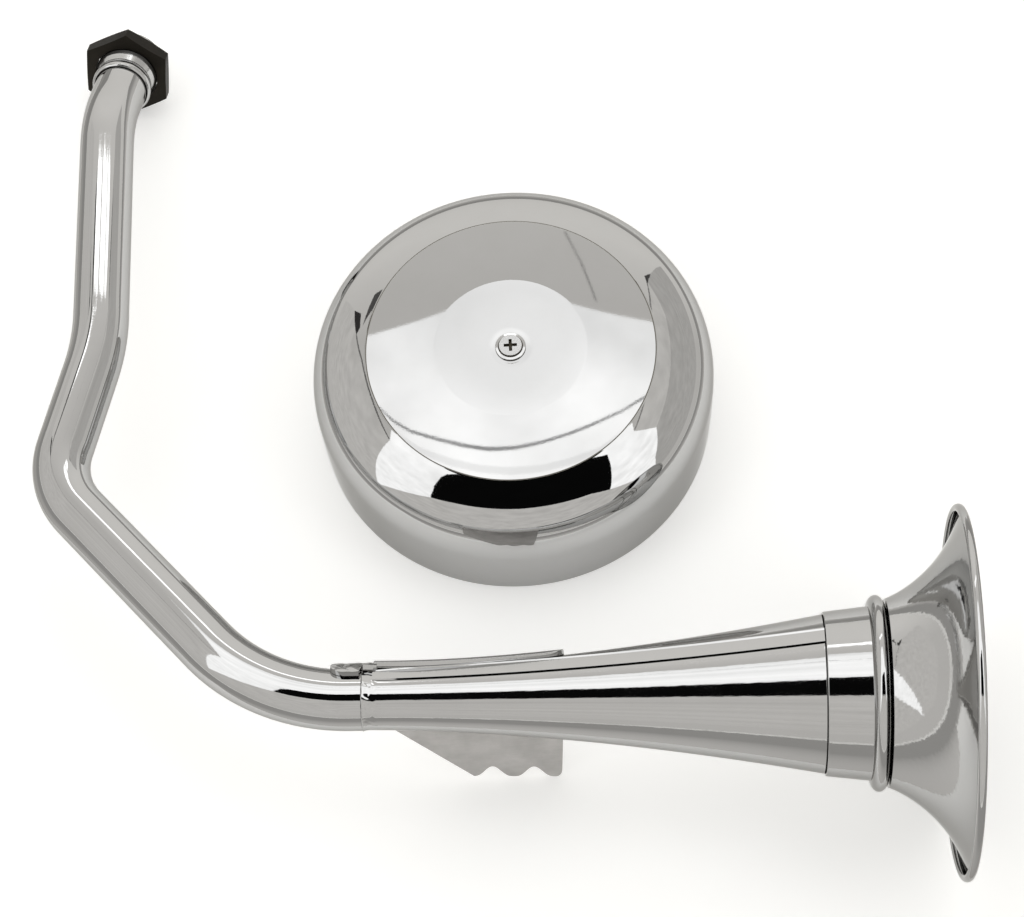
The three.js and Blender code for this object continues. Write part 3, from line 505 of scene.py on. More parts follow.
def chromium_plating(name, stretch=(1, 1, 1), smear=0.04, gloss_floor=0.04, ripple=0.004,
                     ripple_size=RIPPLE_SIZE, buffing=0.012):
    """Bright plating: the smear and the floor make its gloss, the ripple and buffing its bump."""
    material, tree, shader = new_material(name, Metallic=1.0, Specular_Tint=srgb(EDGE_TINT))
    place = add_node(tree, "TexCoord")
    patches = add_node(tree, "TexNoise", {"Scale": 1 / (SMEAR_SIZE * MM), "Detail": 5.0,
                                          "Roughness": 0.62}, {"Vector": place.outputs["Object"]})
    gloss = add_node(tree, "MapRange", {"From Min": 0.35, "From Max": 0.75,
                                        "To Min": gloss_floor, "To Max": gloss_floor + smear},
                     {"Value": patches.outputs["Fac"]})
    tint = add_node(tree, "Mix", {"data_type": "RGBA", 6: srgb("#BEBEBE"), 7: srgb("#B8B8B7")},
                    {0: patches.outputs["Fac"]})
    stretched = add_node(tree, "Mapping", {"Scale": stretch}, {"Vector": place.outputs["Object"]})
    marks = add_node(tree, "TexNoise", {"Scale": 1 / (BUFF_SPACING * MM), "Detail": 3.0},
                     {"Vector": stretched.outputs["Vector"]})
    ripples = add_node(tree, "TexNoise", {"Scale": 1 / (ripple_size * MM), "Detail": 1.0},
                       {"Vector": place.outputs["Object"]})
    fine = add_node(tree, "Bump", {"Strength": buffing, "Distance": BUFF_SPACING * MM},
                    {"Height": marks.outputs["Fac"]})
    broad = add_node(tree, "Bump", {"Strength": ripple, "Distance": ripple_size * MM * RIPPLE_DEPTH_SHARE},
                     {"Height": ripples.outputs["Fac"], "Normal": fine.outputs["Normal"]})
    join_up(tree, shader, tint, gloss, broad)
    return material


plated_brass = chromium_plating("chromium_plated_brass", stretch=(1, 1, 0.05))
plated_tube = chromium_plating("chromium_plated_tube", smear=0.03, gloss_floor=0.02, buffing=0.006)
plated_cover = chromium_plating("chromium_plated_cover", ripple=0.0, smear=0.015, gloss_floor=0.015,
                                buffing=0.002)
plated_bell = chromium_plating("chromium_plated_spinning", stretch=(1, 1, 0.2), ripple=0.02,
                               ripple_size=1.6)
plated_fitting = chromium_plating("satin_chromium_on_turned_brass", smear=0.08, gloss_floor=0.26)
plated_ferrule = chromium_plating("chromium_on_turned_brass", smear=0.06, gloss_floor=0.1)

# %% [markdown]
# ## Neck tube
# The neck is one drawn brass tube with four bends. It is swept: a ring of points is carried along a
# route of straight runs and round corners. The turn of each ring is passed on from the last one, which
# keeps it from twisting. The tube thins slightly toward its tip, and it is hollow.

# %% Neck tube
TUBE_RADIUS, TUBE_TIP_RADIUS, TUBE_WALL = 9.43, 9.15, 0.9
NECK_TILT = 7.02
SOCKET_DEPTH = 3.0
TUBE_SIDES = 96
ROUTE_STEP, FEWEST_STEPS = 1.5, 4
NECK_RUNS = [
    # length, heading, dip, radius of the bend at its end
    (31.0, 180.0, 0.0, 60.0),
    (106.5, 132.1, 0.0, 28.0),
    (55.2, 78.6, 0.0, 90.0),
    (94.0, 93.0, 0.0, 60.0),
    (29.4, 84.0, 18.4, 0.0),
]


def run_direction(heading, dip):
    """Direction of a run, from its heading in the neck's own tilted plane and its dip below it."""
    heading, dip = math.radians(heading), math.radians(dip)
    flat = Vector((
        math.cos(heading) * math.cos(dip), math.sin(heading) * math.cos(dip), -math.sin(dip),
    ))
    return Matrix.Rotation(-math.radians(NECK_TILT), 3, "X") @ flat


def add_straight(route, end):
    """Adds points to a route, from its last one straight to the end."""
    start = route[-1]
    steps = max(1, round((end - start).length / ROUTE_STEP))
    route.extend(start.lerp(end, step / steps) for step in range(1, steps + 1))


def neck_route():
    """Points down the middle of the neck from the sleeve's end, and the tip's place and direction."""
    route = [Vector()]
    corner = Vector()
    for i, (length, heading, dip, bend) in enumerate(NECK_RUNS):
        arriving = run_direction(heading, dip)
        corner = corner + arriving * length
        if i == len(NECK_RUNS) - 1:
            add_straight(route, corner + arriving * SOCKET_DEPTH)
            return route, corner, arriving
        leaving = run_direction(*NECK_RUNS[i + 1][1:3])
        turn = arriving.angle(leaving)
        start = corner - arriving * bend * math.tan(turn / 2)
        inward = (leaving - arriving * math.cos(turn)).normalized()
        add_straight(route, start)
        steps = max(FEWEST_STEPS, round(bend * turn / ROUTE_STEP))
        for step in range(1, steps + 1):
            angle = turn * step / steps
            route.append(start + arriving * bend * math.sin(angle)
                         + inward * bend * (1 - math.cos(angle)))


def swept_tube(name, route, outer_radii, wall, place, sides=TUBE_SIDES):
    """A hollow tube along a route, open at both ends."""
    work = bmesh.new()
    side = Vector((0, 0, 1))
    outer, inner = [], []
    for i, point in enumerate(route):
        direction = (route[min(i + 1, len(route) - 1)] - route[max(i - 1, 0)]).normalized()
        side = (side - direction * side.dot(direction)).normalized()
        other = direction.cross(side)
        for rings, radius in ((outer, outer_radii[i]), (inner, outer_radii[i] - wall)):
            ring = []
            for step in range(sides):
                angle = 2 * math.pi * step / sides
                spoke = side * math.cos(angle) + other * math.sin(angle)
                ring.append(work.verts.new((point + spoke * radius) * MM))
            rings.append(ring)
    join_rings(work, outer + inner[::-1])
    return finished(name, work, place)


route, neck_tip, tip_direction = neck_route()
spans = [0.0]
for before, after in zip(route, route[1:]):
    spans.append(spans[-1] + (after - before).length)
radii = [TUBE_RADIUS + (TUBE_TIP_RADIUS - TUBE_RADIUS) * span / spans[-1] for span in spans]
neck = swept_tube("bent_neck_tube", route, radii, TUBE_WALL, horn_place)
dress(neck, "horn_set", plated_tube, "chrome_plate", "neck_tube")
print("neck is", round(spans[-1]), "mm long")

# %% [markdown]
# ## Throat cone
# A flat blank is rolled into a cone that opens faster and faster, and its two edges are lapped and
# soldered. The curve is one power law, so one short function gives its radius anywhere. The braze that
# joins the cone to the neck froze in lumps: noise moves the points of the cone's first few millimetres
# in and out, most on the upper side. A hair-thin gap is left before it, where the joint shows as a line.

# %% Throat cone
SHEET = 0.8
THROAT_RADIUS, CONE_MOUTH_RADIUS = 9.2, 24.2
CONE_LENGTH, CONE_FLARE_POWER = 140.0, 1.7
SPIGOT_LENGTH, SPIGOT_DROP = 4.0, 0.7
BRAZE_WIDTH, BRAZE_HEIGHT, BRAZE_REACH = 2.4, 0.3, 5.2
BRAZE_LUMP, LUMP_SIZE, BRAZE_GAP = 0.2, 1.3, 0.08
LUMP_MARGIN, LUMP_REACH_IN, LUMP_BELOW = 0.05, 0.1, 0.3
BRAZE_STEPS, CONE_STEPS, CONE_INSIDE_STEPS = 10, 108, 60
EDGE_ROUNDING = 0.25


def cone_radius(along):
    """The cone's outer radius at a distance from its narrow end."""
    share = max(along, 0.0) / CONE_LENGTH
    return THROAT_RADIUS + (CONE_MOUTH_RADIUS - THROAT_RADIUS) * share ** CONE_FLARE_POWER


def spread(start, end, steps):
    """Evenly spaced numbers from start to end, both included."""
    return [start + (end - start) * i / steps for i in range(steps + 1)]


spigot_radius = CONE_MOUTH_RADIUS - SPIGOT_DROP
cone_end = CONE_LENGTH - SEAT_GAP
spigot_end = CONE_LENGTH + SPIGOT_LENGTH
cone_back = [(cone_radius(s) + BRAZE_HEIGHT * (1 - (s - BRAZE_GAP) / BRAZE_WIDTH) ** 2, s)
             for s in spread(BRAZE_GAP, BRAZE_GAP + BRAZE_WIDTH, BRAZE_STEPS)[1:]]
cone_back += [(cone_radius(s), s)
              for s in spread(BRAZE_GAP + BRAZE_WIDTH, BRAZE_REACH, BRAZE_STEPS)[1:]]
cone_back += [(cone_radius(s), s) for s in spread(BRAZE_REACH, cone_end, CONE_STEPS)[1:]]
cone_inside = [(min(cone_radius(s), spigot_radius) - SHEET, s)
               for s in spread(spigot_end, BRAZE_GAP, CONE_INSIDE_STEPS)]
cone_outline = soften(
    [(TUBE_RADIUS + BRAZE_HEIGHT, BRAZE_GAP)] + cone_back
    + [(spigot_radius, cone_end), (spigot_radius, spigot_end)] + cone_inside, EDGE_ROUNDING)
cone = turned("flared_throat_cone", cone_outline, bell_place, FINE_SIDES)
for vertex in cone.data.vertices:
    spot = vertex.co / MM
    around = math.hypot(spot.x, spot.y)
    on_skin = around > cone_radius(spot.z) - LUMP_REACH_IN
    if on_skin and BRAZE_GAP + LUMP_MARGIN < spot.z < BRAZE_REACH:
        upward = LUMP_BELOW + (1 - LUMP_BELOW) * max(0.0, -spot.x / around)
        fade = min(1.0, (BRAZE_REACH - spot.z) / BRAZE_WIDTH)
        lump = noise.noise(spot / LUMP_SIZE) * BRAZE_LUMP * upward * fade
        vertex.co.xy *= 1 + lump / around
dress(cone, "horn_set", plated_brass, "chrome_plate", "throat_cone")

# %% [markdown]
# ## Lap seam
# The lap of the cone's own sheet is a raised strip along the top. Its near edge slopes down to the cone
# and shows as a dark line, and its far edge is folded into a low rib, whose flank shows as a bright
# one. The strip is a bar with that section that follows the cone: each point is set out from the bell's
# axis by the cone's radius there, so the strip hugs the curve at every place along it.

# %% Lap seam
SEAM_WIDTH, SEAM_HEIGHT, SEAM_DEPTH = 6.1, 0.5, 0.4
SEAM_SLOPE, SEAM_SLOPE_DROP, SEAM_ROUNDING = 0.45, 0.35, 0.12
RIB_WIDTH, RIB_RISE, RIB_FLANK, RIB_BACK = 1.0, 0.36, 0.54, 0.2
SEAM_NARROW_SHARE, SEAM_NARROW_LENGTH = 0.28, 18.0
SEAM_START, SEAM_EDGE_ANGLE = 3.4, 72.0
SEAM_STEPS = 120

rib_start, rib_top = SEAM_WIDTH - RIB_WIDTH, SEAM_HEIGHT + RIB_RISE
seam_section = soften([(0, -SEAM_DEPTH), (SEAM_WIDTH, -SEAM_DEPTH), (SEAM_WIDTH, SEAM_HEIGHT),
                       (SEAM_WIDTH - RIB_BACK, rib_top), (rib_start + RIB_FLANK, rib_top),
                       (rib_start, SEAM_HEIGHT), (SEAM_SLOPE, SEAM_HEIGHT),
                       (0, SEAM_HEIGHT - SEAM_SLOPE_DROP)], SEAM_ROUNDING)
seam_turn = Matrix.Rotation(math.radians(SEAM_EDGE_ANGLE - 90), 3, "X")
work = bmesh.new()
rings = []
for along in spread(SEAM_START, cone_end, SEAM_STEPS):
    ring = []
    near_start = max(0.0, 1 - (along - SEAM_START) / SEAM_NARROW_LENGTH)
    for place_across, height in seam_section:
        across = place_across * (1 - SEAM_NARROW_SHARE * near_start ** 2)
        radius = cone_radius(along) + height
        point = seam_turn @ Vector((0, across, math.sqrt(radius ** 2 - across ** 2)))
        ring.append(work.verts.new(Vector((along, point.y, point.z)) * MM))
    rings.append(ring)
join_rings(work, rings, closed=False)
work.faces.new(rings[0])
work.faces.new(rings[-1])
seam = finished("lap_seam_strip", work, horn_place)
dress(seam, "horn_set", plated_brass, "chrome_plate")

# %% [markdown]
# ## Collar and bell
# The collar joins cone and bell. Its bead is rolled into the sheet to stiffen it. The bell is spun over
# a former, so its section is one sweeping curve, and the spinner rolls its rim back to a round edge
# that doesn't cut the hand.

# %% Collar and bell
COLLAR_START_RADIUS, COLLAR_END_RADIUS, COLLAR_LENGTH = 24.9, 26.6, 13.4
BEAD_RADIUS, BEAD_HEIGHT, BEAD_SINK = 2.6, 3.4, 0.2
BELL_SPIGOT, BELL_LENGTH = 7.0, 24.1
BELL_THROAT_RADIUS, BELL_RIM_RADIUS = 28.6, 57.15
RIM_ROLL_RADIUS, RIM_SHEET, RIM_ROLL_ANGLE = 1.4, 0.55, 225.0
BELL_EASE, BELL_FLARE = (0.34, 0.11), (0.86, 0.46)
BELL_STEPS, ROLL_STEPS, BEAD_STEPS = 72, 24, 28

bead_centre = CONE_LENGTH + COLLAR_LENGTH + BEAD_RADIUS
collar_end = bead_centre + BEAD_RADIUS
bell_shoulder = collar_end + SEAT_GAP


def collar_bore(along):
    """The collar's inner radius at a distance from the cone's narrow end."""
    share = (along - CONE_LENGTH) / (collar_end - CONE_LENGTH)
    return COLLAR_START_RADIUS + (COLLAR_END_RADIUS - COLLAR_START_RADIUS) * share - SHEET


bead = [(COLLAR_END_RADIUS - BEAD_SINK + BEAD_HEIGHT * math.sin(angle),
         bead_centre - BEAD_RADIUS * math.cos(angle)) for angle in spread(0, math.pi, BEAD_STEPS)]
collar_outline = soften(
    [(collar_bore(CONE_LENGTH), CONE_LENGTH), (COLLAR_START_RADIUS, CONE_LENGTH)] + bead
    + [(collar_bore(collar_end), collar_end)], EDGE_ROUNDING)
collar = turned("beaded_collar", collar_outline, bell_place, FINE_SIDES)
dress(collar, "horn_set", plated_brass, "chrome_plate", "bell_collar")


def bezier(points, share):
    """A point on the cubic curve with these four handles, and its direction."""
    rest = 1 - share
    a, b, c, d = [Vector(point) for point in points]
    place = a * rest ** 3 + b * 3 * rest ** 2 * share + c * 3 * rest * share ** 2 + d * share ** 3
    along = (b - a) * rest ** 2 + (c - b) * 2 * rest * share + (d - c) * share ** 2
    return place, along.normalized()


def bell_curve(offset):
    """The bell's section as (radius, place along), set off to its front by an offset."""
    rise = BELL_RIM_RADIUS - RIM_ROLL_RADIUS - BELL_THROAT_RADIUS
    run = BELL_LENGTH - RIM_SHEET
    handles = [(BELL_THROAT_RADIUS + rise * up_share, bell_shoulder + run * run_share)
               for run_share, up_share in ((0, 0), BELL_EASE, BELL_FLARE, (1, 1))]
    curve = []
    for share in spread(0, 1, BELL_STEPS):
        place, along = bezier(handles, share)
        curve.append((place.x - offset * along.y, place.y + offset * along.x))
    return curve


def rim_roll(radius, centre):
    """One side of the rim's backward roll, from the bell's sheet round to the free edge."""
    angles = [math.pi / 2 - math.radians(RIM_ROLL_ANGLE) * i / ROLL_STEPS
              for i in range(1, ROLL_STEPS + 1)]
    return [(centre[0] + radius * math.cos(a), centre[1] + radius * math.sin(a)) for a in angles]


bell_back = bell_curve(0)
roll_centre = (bell_back[-1][0], bell_back[-1][1] - (RIM_ROLL_RADIUS - RIM_SHEET))
spigot_start = bell_shoulder - BELL_SPIGOT
bell_spigot_radius = collar_bore(spigot_start) - SEAT_GAP
step_place = bell_shoulder + SHEET
bell_front = [point for point in bell_curve(SHEET)[:-1] if point[1] > step_place]
bell_outline = soften(
    [(bell_spigot_radius - SHEET, spigot_start), (bell_spigot_radius, spigot_start),
     (bell_spigot_radius, bell_shoulder)]
    + bell_back + rim_roll(RIM_ROLL_RADIUS - RIM_SHEET, roll_centre)
    + rim_roll(RIM_ROLL_RADIUS, roll_centre)[::-1]
    + [(roll_centre[0], roll_centre[1] + RIM_ROLL_RADIUS)] + bell_front[::-1]
    + [(BELL_THROAT_RADIUS - SHEET, step_place), (bell_spigot_radius - SHEET, step_place)], EDGE_ROUNDING)
bell = turned("spun_bell_flare", bell_outline, bell_place, FINE_SIDES)
dress(bell, "horn_set", plated_bell, "chrome_plate", "bell_flare")

# %% [markdown]
# ## Finish: dull brushed plating
# The bracket gets the same plating as the rest. Its saddle was polished together with the cone, but its
# plate is only brushed, so it turns out satin grey. Brushing leaves fine parallel scratches: noise
# stretched fifty times along one direction, in the gloss and as a small bump.

# %% Dull brushed plating
# real brush marks are about 0.1 mm apart, and are drawn coarser to show
SCRATCH_SPACING, SCRATCH_STRETCH, SCRATCH_DEPTH = 0.35, (0.02, 1, 1), 0.02
TARNISH_SIZE = 11.0


def satin_plating(name):
    """Plating over brushed sheet: scratches one way and broad patches of tarnish."""
    material, tree, shader = new_material(name, Metallic=1.0)
    place = add_node(tree, "TexCoord")
    stretched = add_node(tree, "Mapping", {"Scale": SCRATCH_STRETCH}, {"Vector": place.outputs["Object"]})
    scratches = add_node(tree, "TexNoise", {"Scale": 1 / (SCRATCH_SPACING * MM), "Detail": 4.0},
                         {"Vector": stretched.outputs["Vector"]})
    tarnish = add_node(tree, "TexNoise", {"Scale": 1 / (TARNISH_SIZE * MM), "Detail": 6.0,
                                          "Roughness": 0.6}, {"Vector": place.outputs["Object"]})
    gloss = add_node(tree, "MapRange", {"From Min": 0.3, "From Max": 0.7, "To Min": 0.38,
                                        "To Max": 0.52}, {"Value": scratches.outputs["Fac"]})
    tone = add_node(tree, "MapRange", {"From Min": 0.32, "From Max": 0.7},
                    {"Value": tarnish.outputs["Fac"]})
    tint = add_node(tree, "Mix", {"data_type": "RGBA", 6: srgb("#A9A7A5"), 7: srgb("#BDBBB9")},
                    {0: tone.outputs["Result"]})
    bump = add_node(tree, "Bump", {"Strength": 0.12, "Distance": SCRATCH_DEPTH * MM},
                    {"Height": scratches.outputs["Fac"]})
    join_up(tree, shader, tint, gloss, bump)
    return material


brushed_sheet = satin_plating("satin_chromium_on_brushed_steel")

# %% [markdown]
# ## Mounting bracket
# The bracket is one sheet: its upper part wraps the far side of the cone as a saddle, and where the
# wrap ends the sheet runs on straight, as a plate that slants down under the horn. Its lower edge is
# stamped in scallops. It is made as a grid, so many points along the horn and so many down the sheet,
# then given its thickness by Solidify and soft edges by Bevel.

# %% Mounting bracket
BRACKET_THICKNESS, BRACKET_LEAN = 1.5, 19.2
SADDLE_TOP_ANGLE, SADDLE_START, SADDLE_LIFT = 38.0, 3.6, 1.0
BRACKET_RIGHT_EDGE = 61.5
PLATE_SHOULDER, PLATE_DROP, PLATE_RISE_SHARE = 22.8, 55.4, 0.1
LOBE_PITCH, LOBE_DEPTH, LOBE_SHARPNESS, LAST_NOTCH, LOBE_COUNT = 13.7, 5.0, 3.0, 9.3, 2.14
SADDLE_STEPS, PLATE_STEPS, BRACKET_STEPS = 20, 26, 150
SADDLE_ROUND, SADDLE_ROUND_ANGLE = 6.0, 15.0
PLATE_SLANT, CORNER_ROUND = 2.2, 2.4
SHEET_EDGE, SHEET_EDGE_ANGLE = 0.3, 50


def lobe_edge(along):
    """How far the plate hangs below its fold at a place along the cone."""
    drop = PLATE_DROP - PLATE_RISE_SHARE * (BRACKET_RIGHT_EDGE - along)
    phase = (along - (BRACKET_RIGHT_EDGE - LAST_NOTCH)) / LOBE_PITCH
    past = max(0.0, along - BRACKET_RIGHT_EDGE + CORNER_ROUND)
    corner = CORNER_ROUND - math.sqrt(max(0.0, CORNER_ROUND ** 2 - past ** 2))
    return drop - corner - LOBE_DEPTH * abs(math.cos(math.pi * phase)) ** LOBE_SHARPNESS


first_lobe = BRACKET_RIGHT_EDGE - LOBE_PITCH * LOBE_COUNT


def plate_edge(along):
    """The whole lower edge: a slanted cut at the left, then the lobes."""
    if along >= first_lobe:
        return lobe_edge(along)
    share = (along - SADDLE_START) / (first_lobe - SADDLE_START)
    return PLATE_SHOULDER + (lobe_edge(first_lobe) - PLATE_SHOULDER) * share


cone_slant = math.atan2(cone_radius(BRACKET_RIGHT_EDGE) - THROAT_RADIUS, BRACKET_RIGHT_EDGE)


def bracket_point(along, share):
    """A point on the sheet's inner face: share 0 to 1 down the saddle, 1 to 2 down the plate."""
    chord = THROAT_RADIUS + along * math.tan(cone_slant) + SEAT_GAP
    lean = math.radians(-BRACKET_LEAN)
    if share <= 1:
        end = max(0.0, (along - BRACKET_RIGHT_EDGE + SADDLE_ROUND) / SADDLE_ROUND)
        top = math.radians(SADDLE_TOP_ANGLE - SADDLE_ROUND_ANGLE * (1 - math.sqrt(1 - end ** 2)))
        angle = top * (1 - share) + lean * share
        left = 1 - (along - SADDLE_START) / (BRACKET_RIGHT_EDGE - SADDLE_START)
        hug = cone_radius(along) + SEAT_GAP + SADDLE_LIFT * left ** 2
        radius = hug + (chord - hug) * share ** 2
        return Vector((along, radius * math.cos(angle), radius * math.sin(angle)))
    drop = plate_edge(along) * (share - 1)
    slant = PLATE_SLANT * (share - 1) * (along - SADDLE_START) / (BRACKET_RIGHT_EDGE - SADDLE_START)
    fold = Vector((along - slant, chord * math.cos(lean), chord * math.sin(lean)))
    return fold + Vector((0, math.sin(lean), -math.cos(lean))) * drop


places = sorted(set(spread(SADDLE_START, BRACKET_RIGHT_EDGE, BRACKET_STEPS) + [first_lobe]))
shares = spread(0, 1, SADDLE_STEPS) + spread(1, 2, PLATE_STEPS)[1:]
work = bmesh.new()
grid = [[work.verts.new(bracket_point(along, share) * MM) for share in shares] for along in places]
for left, right_column in zip(grid, grid[1:]):
    for i in range(len(shares) - 1):
        work.faces.new((left[i], left[i + 1], right_column[i + 1], right_column[i]))
bracket = finished("saddle_bracket_plate", work, horn_place)
outward = sum(face.normal.y * face.area for face in bracket.data.polygons)
thicken = bracket.modifiers.new("thickness", "SOLIDIFY")
thicken.thickness = BRACKET_THICKNESS * MM
thicken.offset = 1.0 if outward > 0 else -1.0
bevel_edges(bracket, SHEET_EDGE, angle=SHEET_EDGE_ANGLE)
dress(bracket, "horn_set", brushed_sheet, "brushed_plate", "mounting_bracket")
bracket.data.materials.append(plated_brass)
strips = len(shares) - 1
for face in bracket.data.polygons:
    face.material_index = int(face.index % strips < SADDLE_STEPS - 1)

# %% [markdown]
# ## Bracket's ear
# A short tongue of the bracket reaches over the joint and is brazed to the neck's sleeve. The braze has
# flowed round it, so it looks like a soft lump. It is a small curved grid whose free end narrows in a
# round, and noise gives it its uneven skin.

# %% Bracket's ear
EAR_START, EAR_END, EAR_LOW, EAR_TOP = -9.5, 4.6, 24.0, 61.0
EAR_RADIUS, EAR_THICKNESS, EAR_ROUND, EAR_LUMP = 9.6, 1.9, 4.5, 0.35
EAR_NOTCH_START, EAR_NOTCH_ANGLE, EAR_LEAST_WIDTH = -0.6, 20.0, 0.12
EAR_LUMP_SIZE, EAR_LUMP_TURN, EAR_EDGE = 2.2, 0.18, 0.5
EAR_STEPS = (40, 24)


def rim_points(skin):
    """The points round the edge of a grid, in order."""
    return (skin[0] + [column[-1] for column in skin[1:]] + skin[-1][-2::-1]
            + [column[0] for column in skin[-2:0:-1]])


work = bmesh.new()
grid = []
for along in spread(EAR_START, EAR_END, EAR_STEPS[0]):
    end = min(1.0, max(0.0, (EAR_START + EAR_ROUND - along) / EAR_ROUND))
    half = (EAR_TOP - EAR_LOW) / 2 * max(EAR_LEAST_WIDTH, math.sqrt(1 - end ** 2))
    notch = EAR_NOTCH_ANGLE * min(1.0, max(0.0, along - EAR_NOTCH_START))
    column = []
    for across in spread(-half, half - notch, EAR_STEPS[1]):
        angle = math.radians((EAR_TOP + EAR_LOW) / 2 + across)
        lump = noise.noise(Vector((along, across * EAR_LUMP_TURN, 0)) / EAR_LUMP_SIZE) * EAR_LUMP
        radius = EAR_RADIUS + EAR_THICKNESS - EAR_LUMP / 2 + lump / 2
        column.append((along, angle, radius))
    grid.append(column)
skins = []
for level in (0, 1):
    skins.append([[work.verts.new(Vector((
        along, math.cos(angle) * (radius if level else EAR_RADIUS),
        math.sin(angle) * (radius if level else EAR_RADIUS))) * MM)
        for along, angle, radius in column] for column in grid])
for skin in skins:
    for left, right_column in zip(skin, skin[1:]):
        for i in range(EAR_STEPS[1]):
            work.faces.new((left[i], left[i + 1], right_column[i + 1], right_column[i]))
edge_under, edge_over = map(rim_points, skins)
for i, start in enumerate(edge_under):
    j = (i + 1) % len(edge_under)
    work.faces.new((start, edge_under[j], edge_over[j], edge_over[i]))
ear = finished("bracket_ear", work, horn_place)
bevel_edges(ear, EAR_EDGE, angle=SHEET_EDGE_ANGLE, segments=4)
dress(ear, "horn_set", plated_brass, "brushed_plate")

# %% [markdown]
# ## Ferrule at the tip
# The ferrule is turned from bar and soldered over the tube's tip. Its groove and its ring catch the
# light as three thin lines, and two short flares beside the nut do the same. It is made about its own
# axis and set on the neck's tip by one matrix.

# %% Ferrule at the tip
FERRULE_RADIUS, FERRULE_NECK_RADIUS, GROOVE_RADIUS, RING_RADIUS = 10.75, 9.95, 9.7, 10.4
FERRULE_BORE = 8.2
FERRULE_FLARES = [(10.1, 2.05), (10.7, 2.15), (9.95, 4.5)]
FERRULE_SHOULDER, FERRULE_GROOVE, FERRULE_RING, FERRULE_SPIGOT = 5.0, 0.8, 3.0, 5.8
FERRULE_ROUNDING, RING_STEPS = 0.12, 12
NUT_WIDTH, NUT_THICKNESS, NUT_CHAMFER, NUT_TURN = 28.2, 5.45, 0.6, 21.0

tip_turn = Vector((0, 0, 1)).rotation_difference(-tip_direction).to_matrix().to_4x4()
tip_place = Matrix.Translation(bell_start + neck_tip * MM) @ tip_turn
socket = TUBE_TIP_RADIUS + SEAT_GAP
ferrule_end = -NUT_THICKNESS - FERRULE_SPIGOT
ring_top = FERRULE_SHOULDER + FERRULE_GROOVE + FERRULE_RING
seat = -SOCKET_DEPTH - SEAT_GAP
ring_bulge = [(GROOVE_RADIUS + (RING_RADIUS - GROOVE_RADIUS) * math.sqrt(math.sin(math.pi * share)),
               ring_top - FERRULE_RING * (1 - share)) for share in spread(0, 1, RING_STEPS)]
ferrule_outline = soften([
    (FERRULE_BORE, ferrule_end), (FERRULE_RADIUS, ferrule_end), (FERRULE_RADIUS, 0.0),
    *FERRULE_FLARES, (FERRULE_NECK_RADIUS, FERRULE_SHOULDER), (GROOVE_RADIUS, FERRULE_SHOULDER),
    *ring_bulge, (socket, ring_top), (socket, seat), (FERRULE_BORE, seat),
], FERRULE_ROUNDING)
ferrule = settle(turned("turned_ferrule", ferrule_outline, tip_place, FINE_SIDES))
dress(ferrule, "horn_set", plated_ferrule, "chrome_plate", "neck_ferrule")

# %% [markdown]
# ## Finish: black-oxide steel
# The nut is steel that was boiled in an oxide bath. The skin is black with a trace of brown, dull and a
# little uneven. The bath changes only the skin, so it stays a metal, with a very dark colour.

# %% Black-oxide steel
# the bath's real grain is under 0.1 mm, and is drawn coarser to show
OXIDE_GRAIN, OXIDE_DEPTH, OXIDE_CLOUD = 0.6, 0.05, 7.0


def black_oxide(name):
    """A nearly black skin on steel, with brown clouds and a fine dull grain."""
    material, tree, shader = new_material(name, Metallic=0.8)
    place = add_node(tree, "TexCoord")
    grain = add_node(tree, "TexNoise", {"Scale": 1 / (OXIDE_GRAIN * MM), "Detail": 6.0},
                     {"Vector": place.outputs["Object"]})
    clouds = add_node(tree, "TexNoise", {"Scale": 1 / (OXIDE_CLOUD * MM), "Detail": 4.0},
                      {"Vector": place.outputs["Object"]})
    tint = add_node(tree, "Mix", {"data_type": "RGBA", 6: srgb("#14120E"), 7: srgb("#2B2720")},
                    {0: clouds.outputs["Fac"]})
    gloss = add_node(tree, "MapRange", {"To Min": 0.42, "To Max": 0.62},
                     {"Value": grain.outputs["Fac"]})
    bump = add_node(tree, "Bump", {"Strength": 0.25, "Distance": OXIDE_DEPTH * MM},
                    {"Height": grain.outputs["Fac"]})
    join_up(tree, shader, tint, gloss, bump)
    return material


oxide_steel = black_oxide("black_oxide_steel")

# %% [markdown]
# ## Coupling nut
# A hexagon nut is a six-sided bar whose corners were turned down on a lathe, which leaves the round
# chamfer arcs on its faces. So it is made the same way: a prism, cut by a turned form and bored.

# %% Coupling nut
OVERRUN, NUT_EDGE, NUT_EDGE_ANGLE = 2.0, 0.2, 35


def hexagon_nut(name, width, bore, low, high, chamfer, place, turn=0.0):
    """A nut with turned-down corners, from low to high on its own axis."""
    corner = width / 2 / math.cos(math.pi / 6)
    prism = turned(name, [(0, low), (corner, low), (corner, high), (0, high)],
                   place @ Matrix.Rotation(math.radians(turn), 4, "Z"), sides=6)
    form = turned(name + "_form", [
        (bore, low - OVERRUN), (width / 2, low - OVERRUN), (width / 2, low), (corner, low + chamfer),
        (corner, high - chamfer), (width / 2, high), (width / 2, high + OVERRUN),
        (bore, high + OVERRUN)], place, sides=PLAIN_SIDES)
    trim(prism, form, "INTERSECT")
    return bevel_edges(prism, NUT_EDGE, angle=NUT_EDGE_ANGLE)


nut = hexagon_nut("coupling_hexagon_nut", NUT_WIDTH, FERRULE_RADIUS + SEAT_GAP, -NUT_THICKNESS, 0.0,
                  NUT_CHAMFER, tip_place, turn=NUT_TURN)
settle(nut)
dress(nut, "coupling_nut_body", oxide_steel, "black_steel", "coupling_nut")

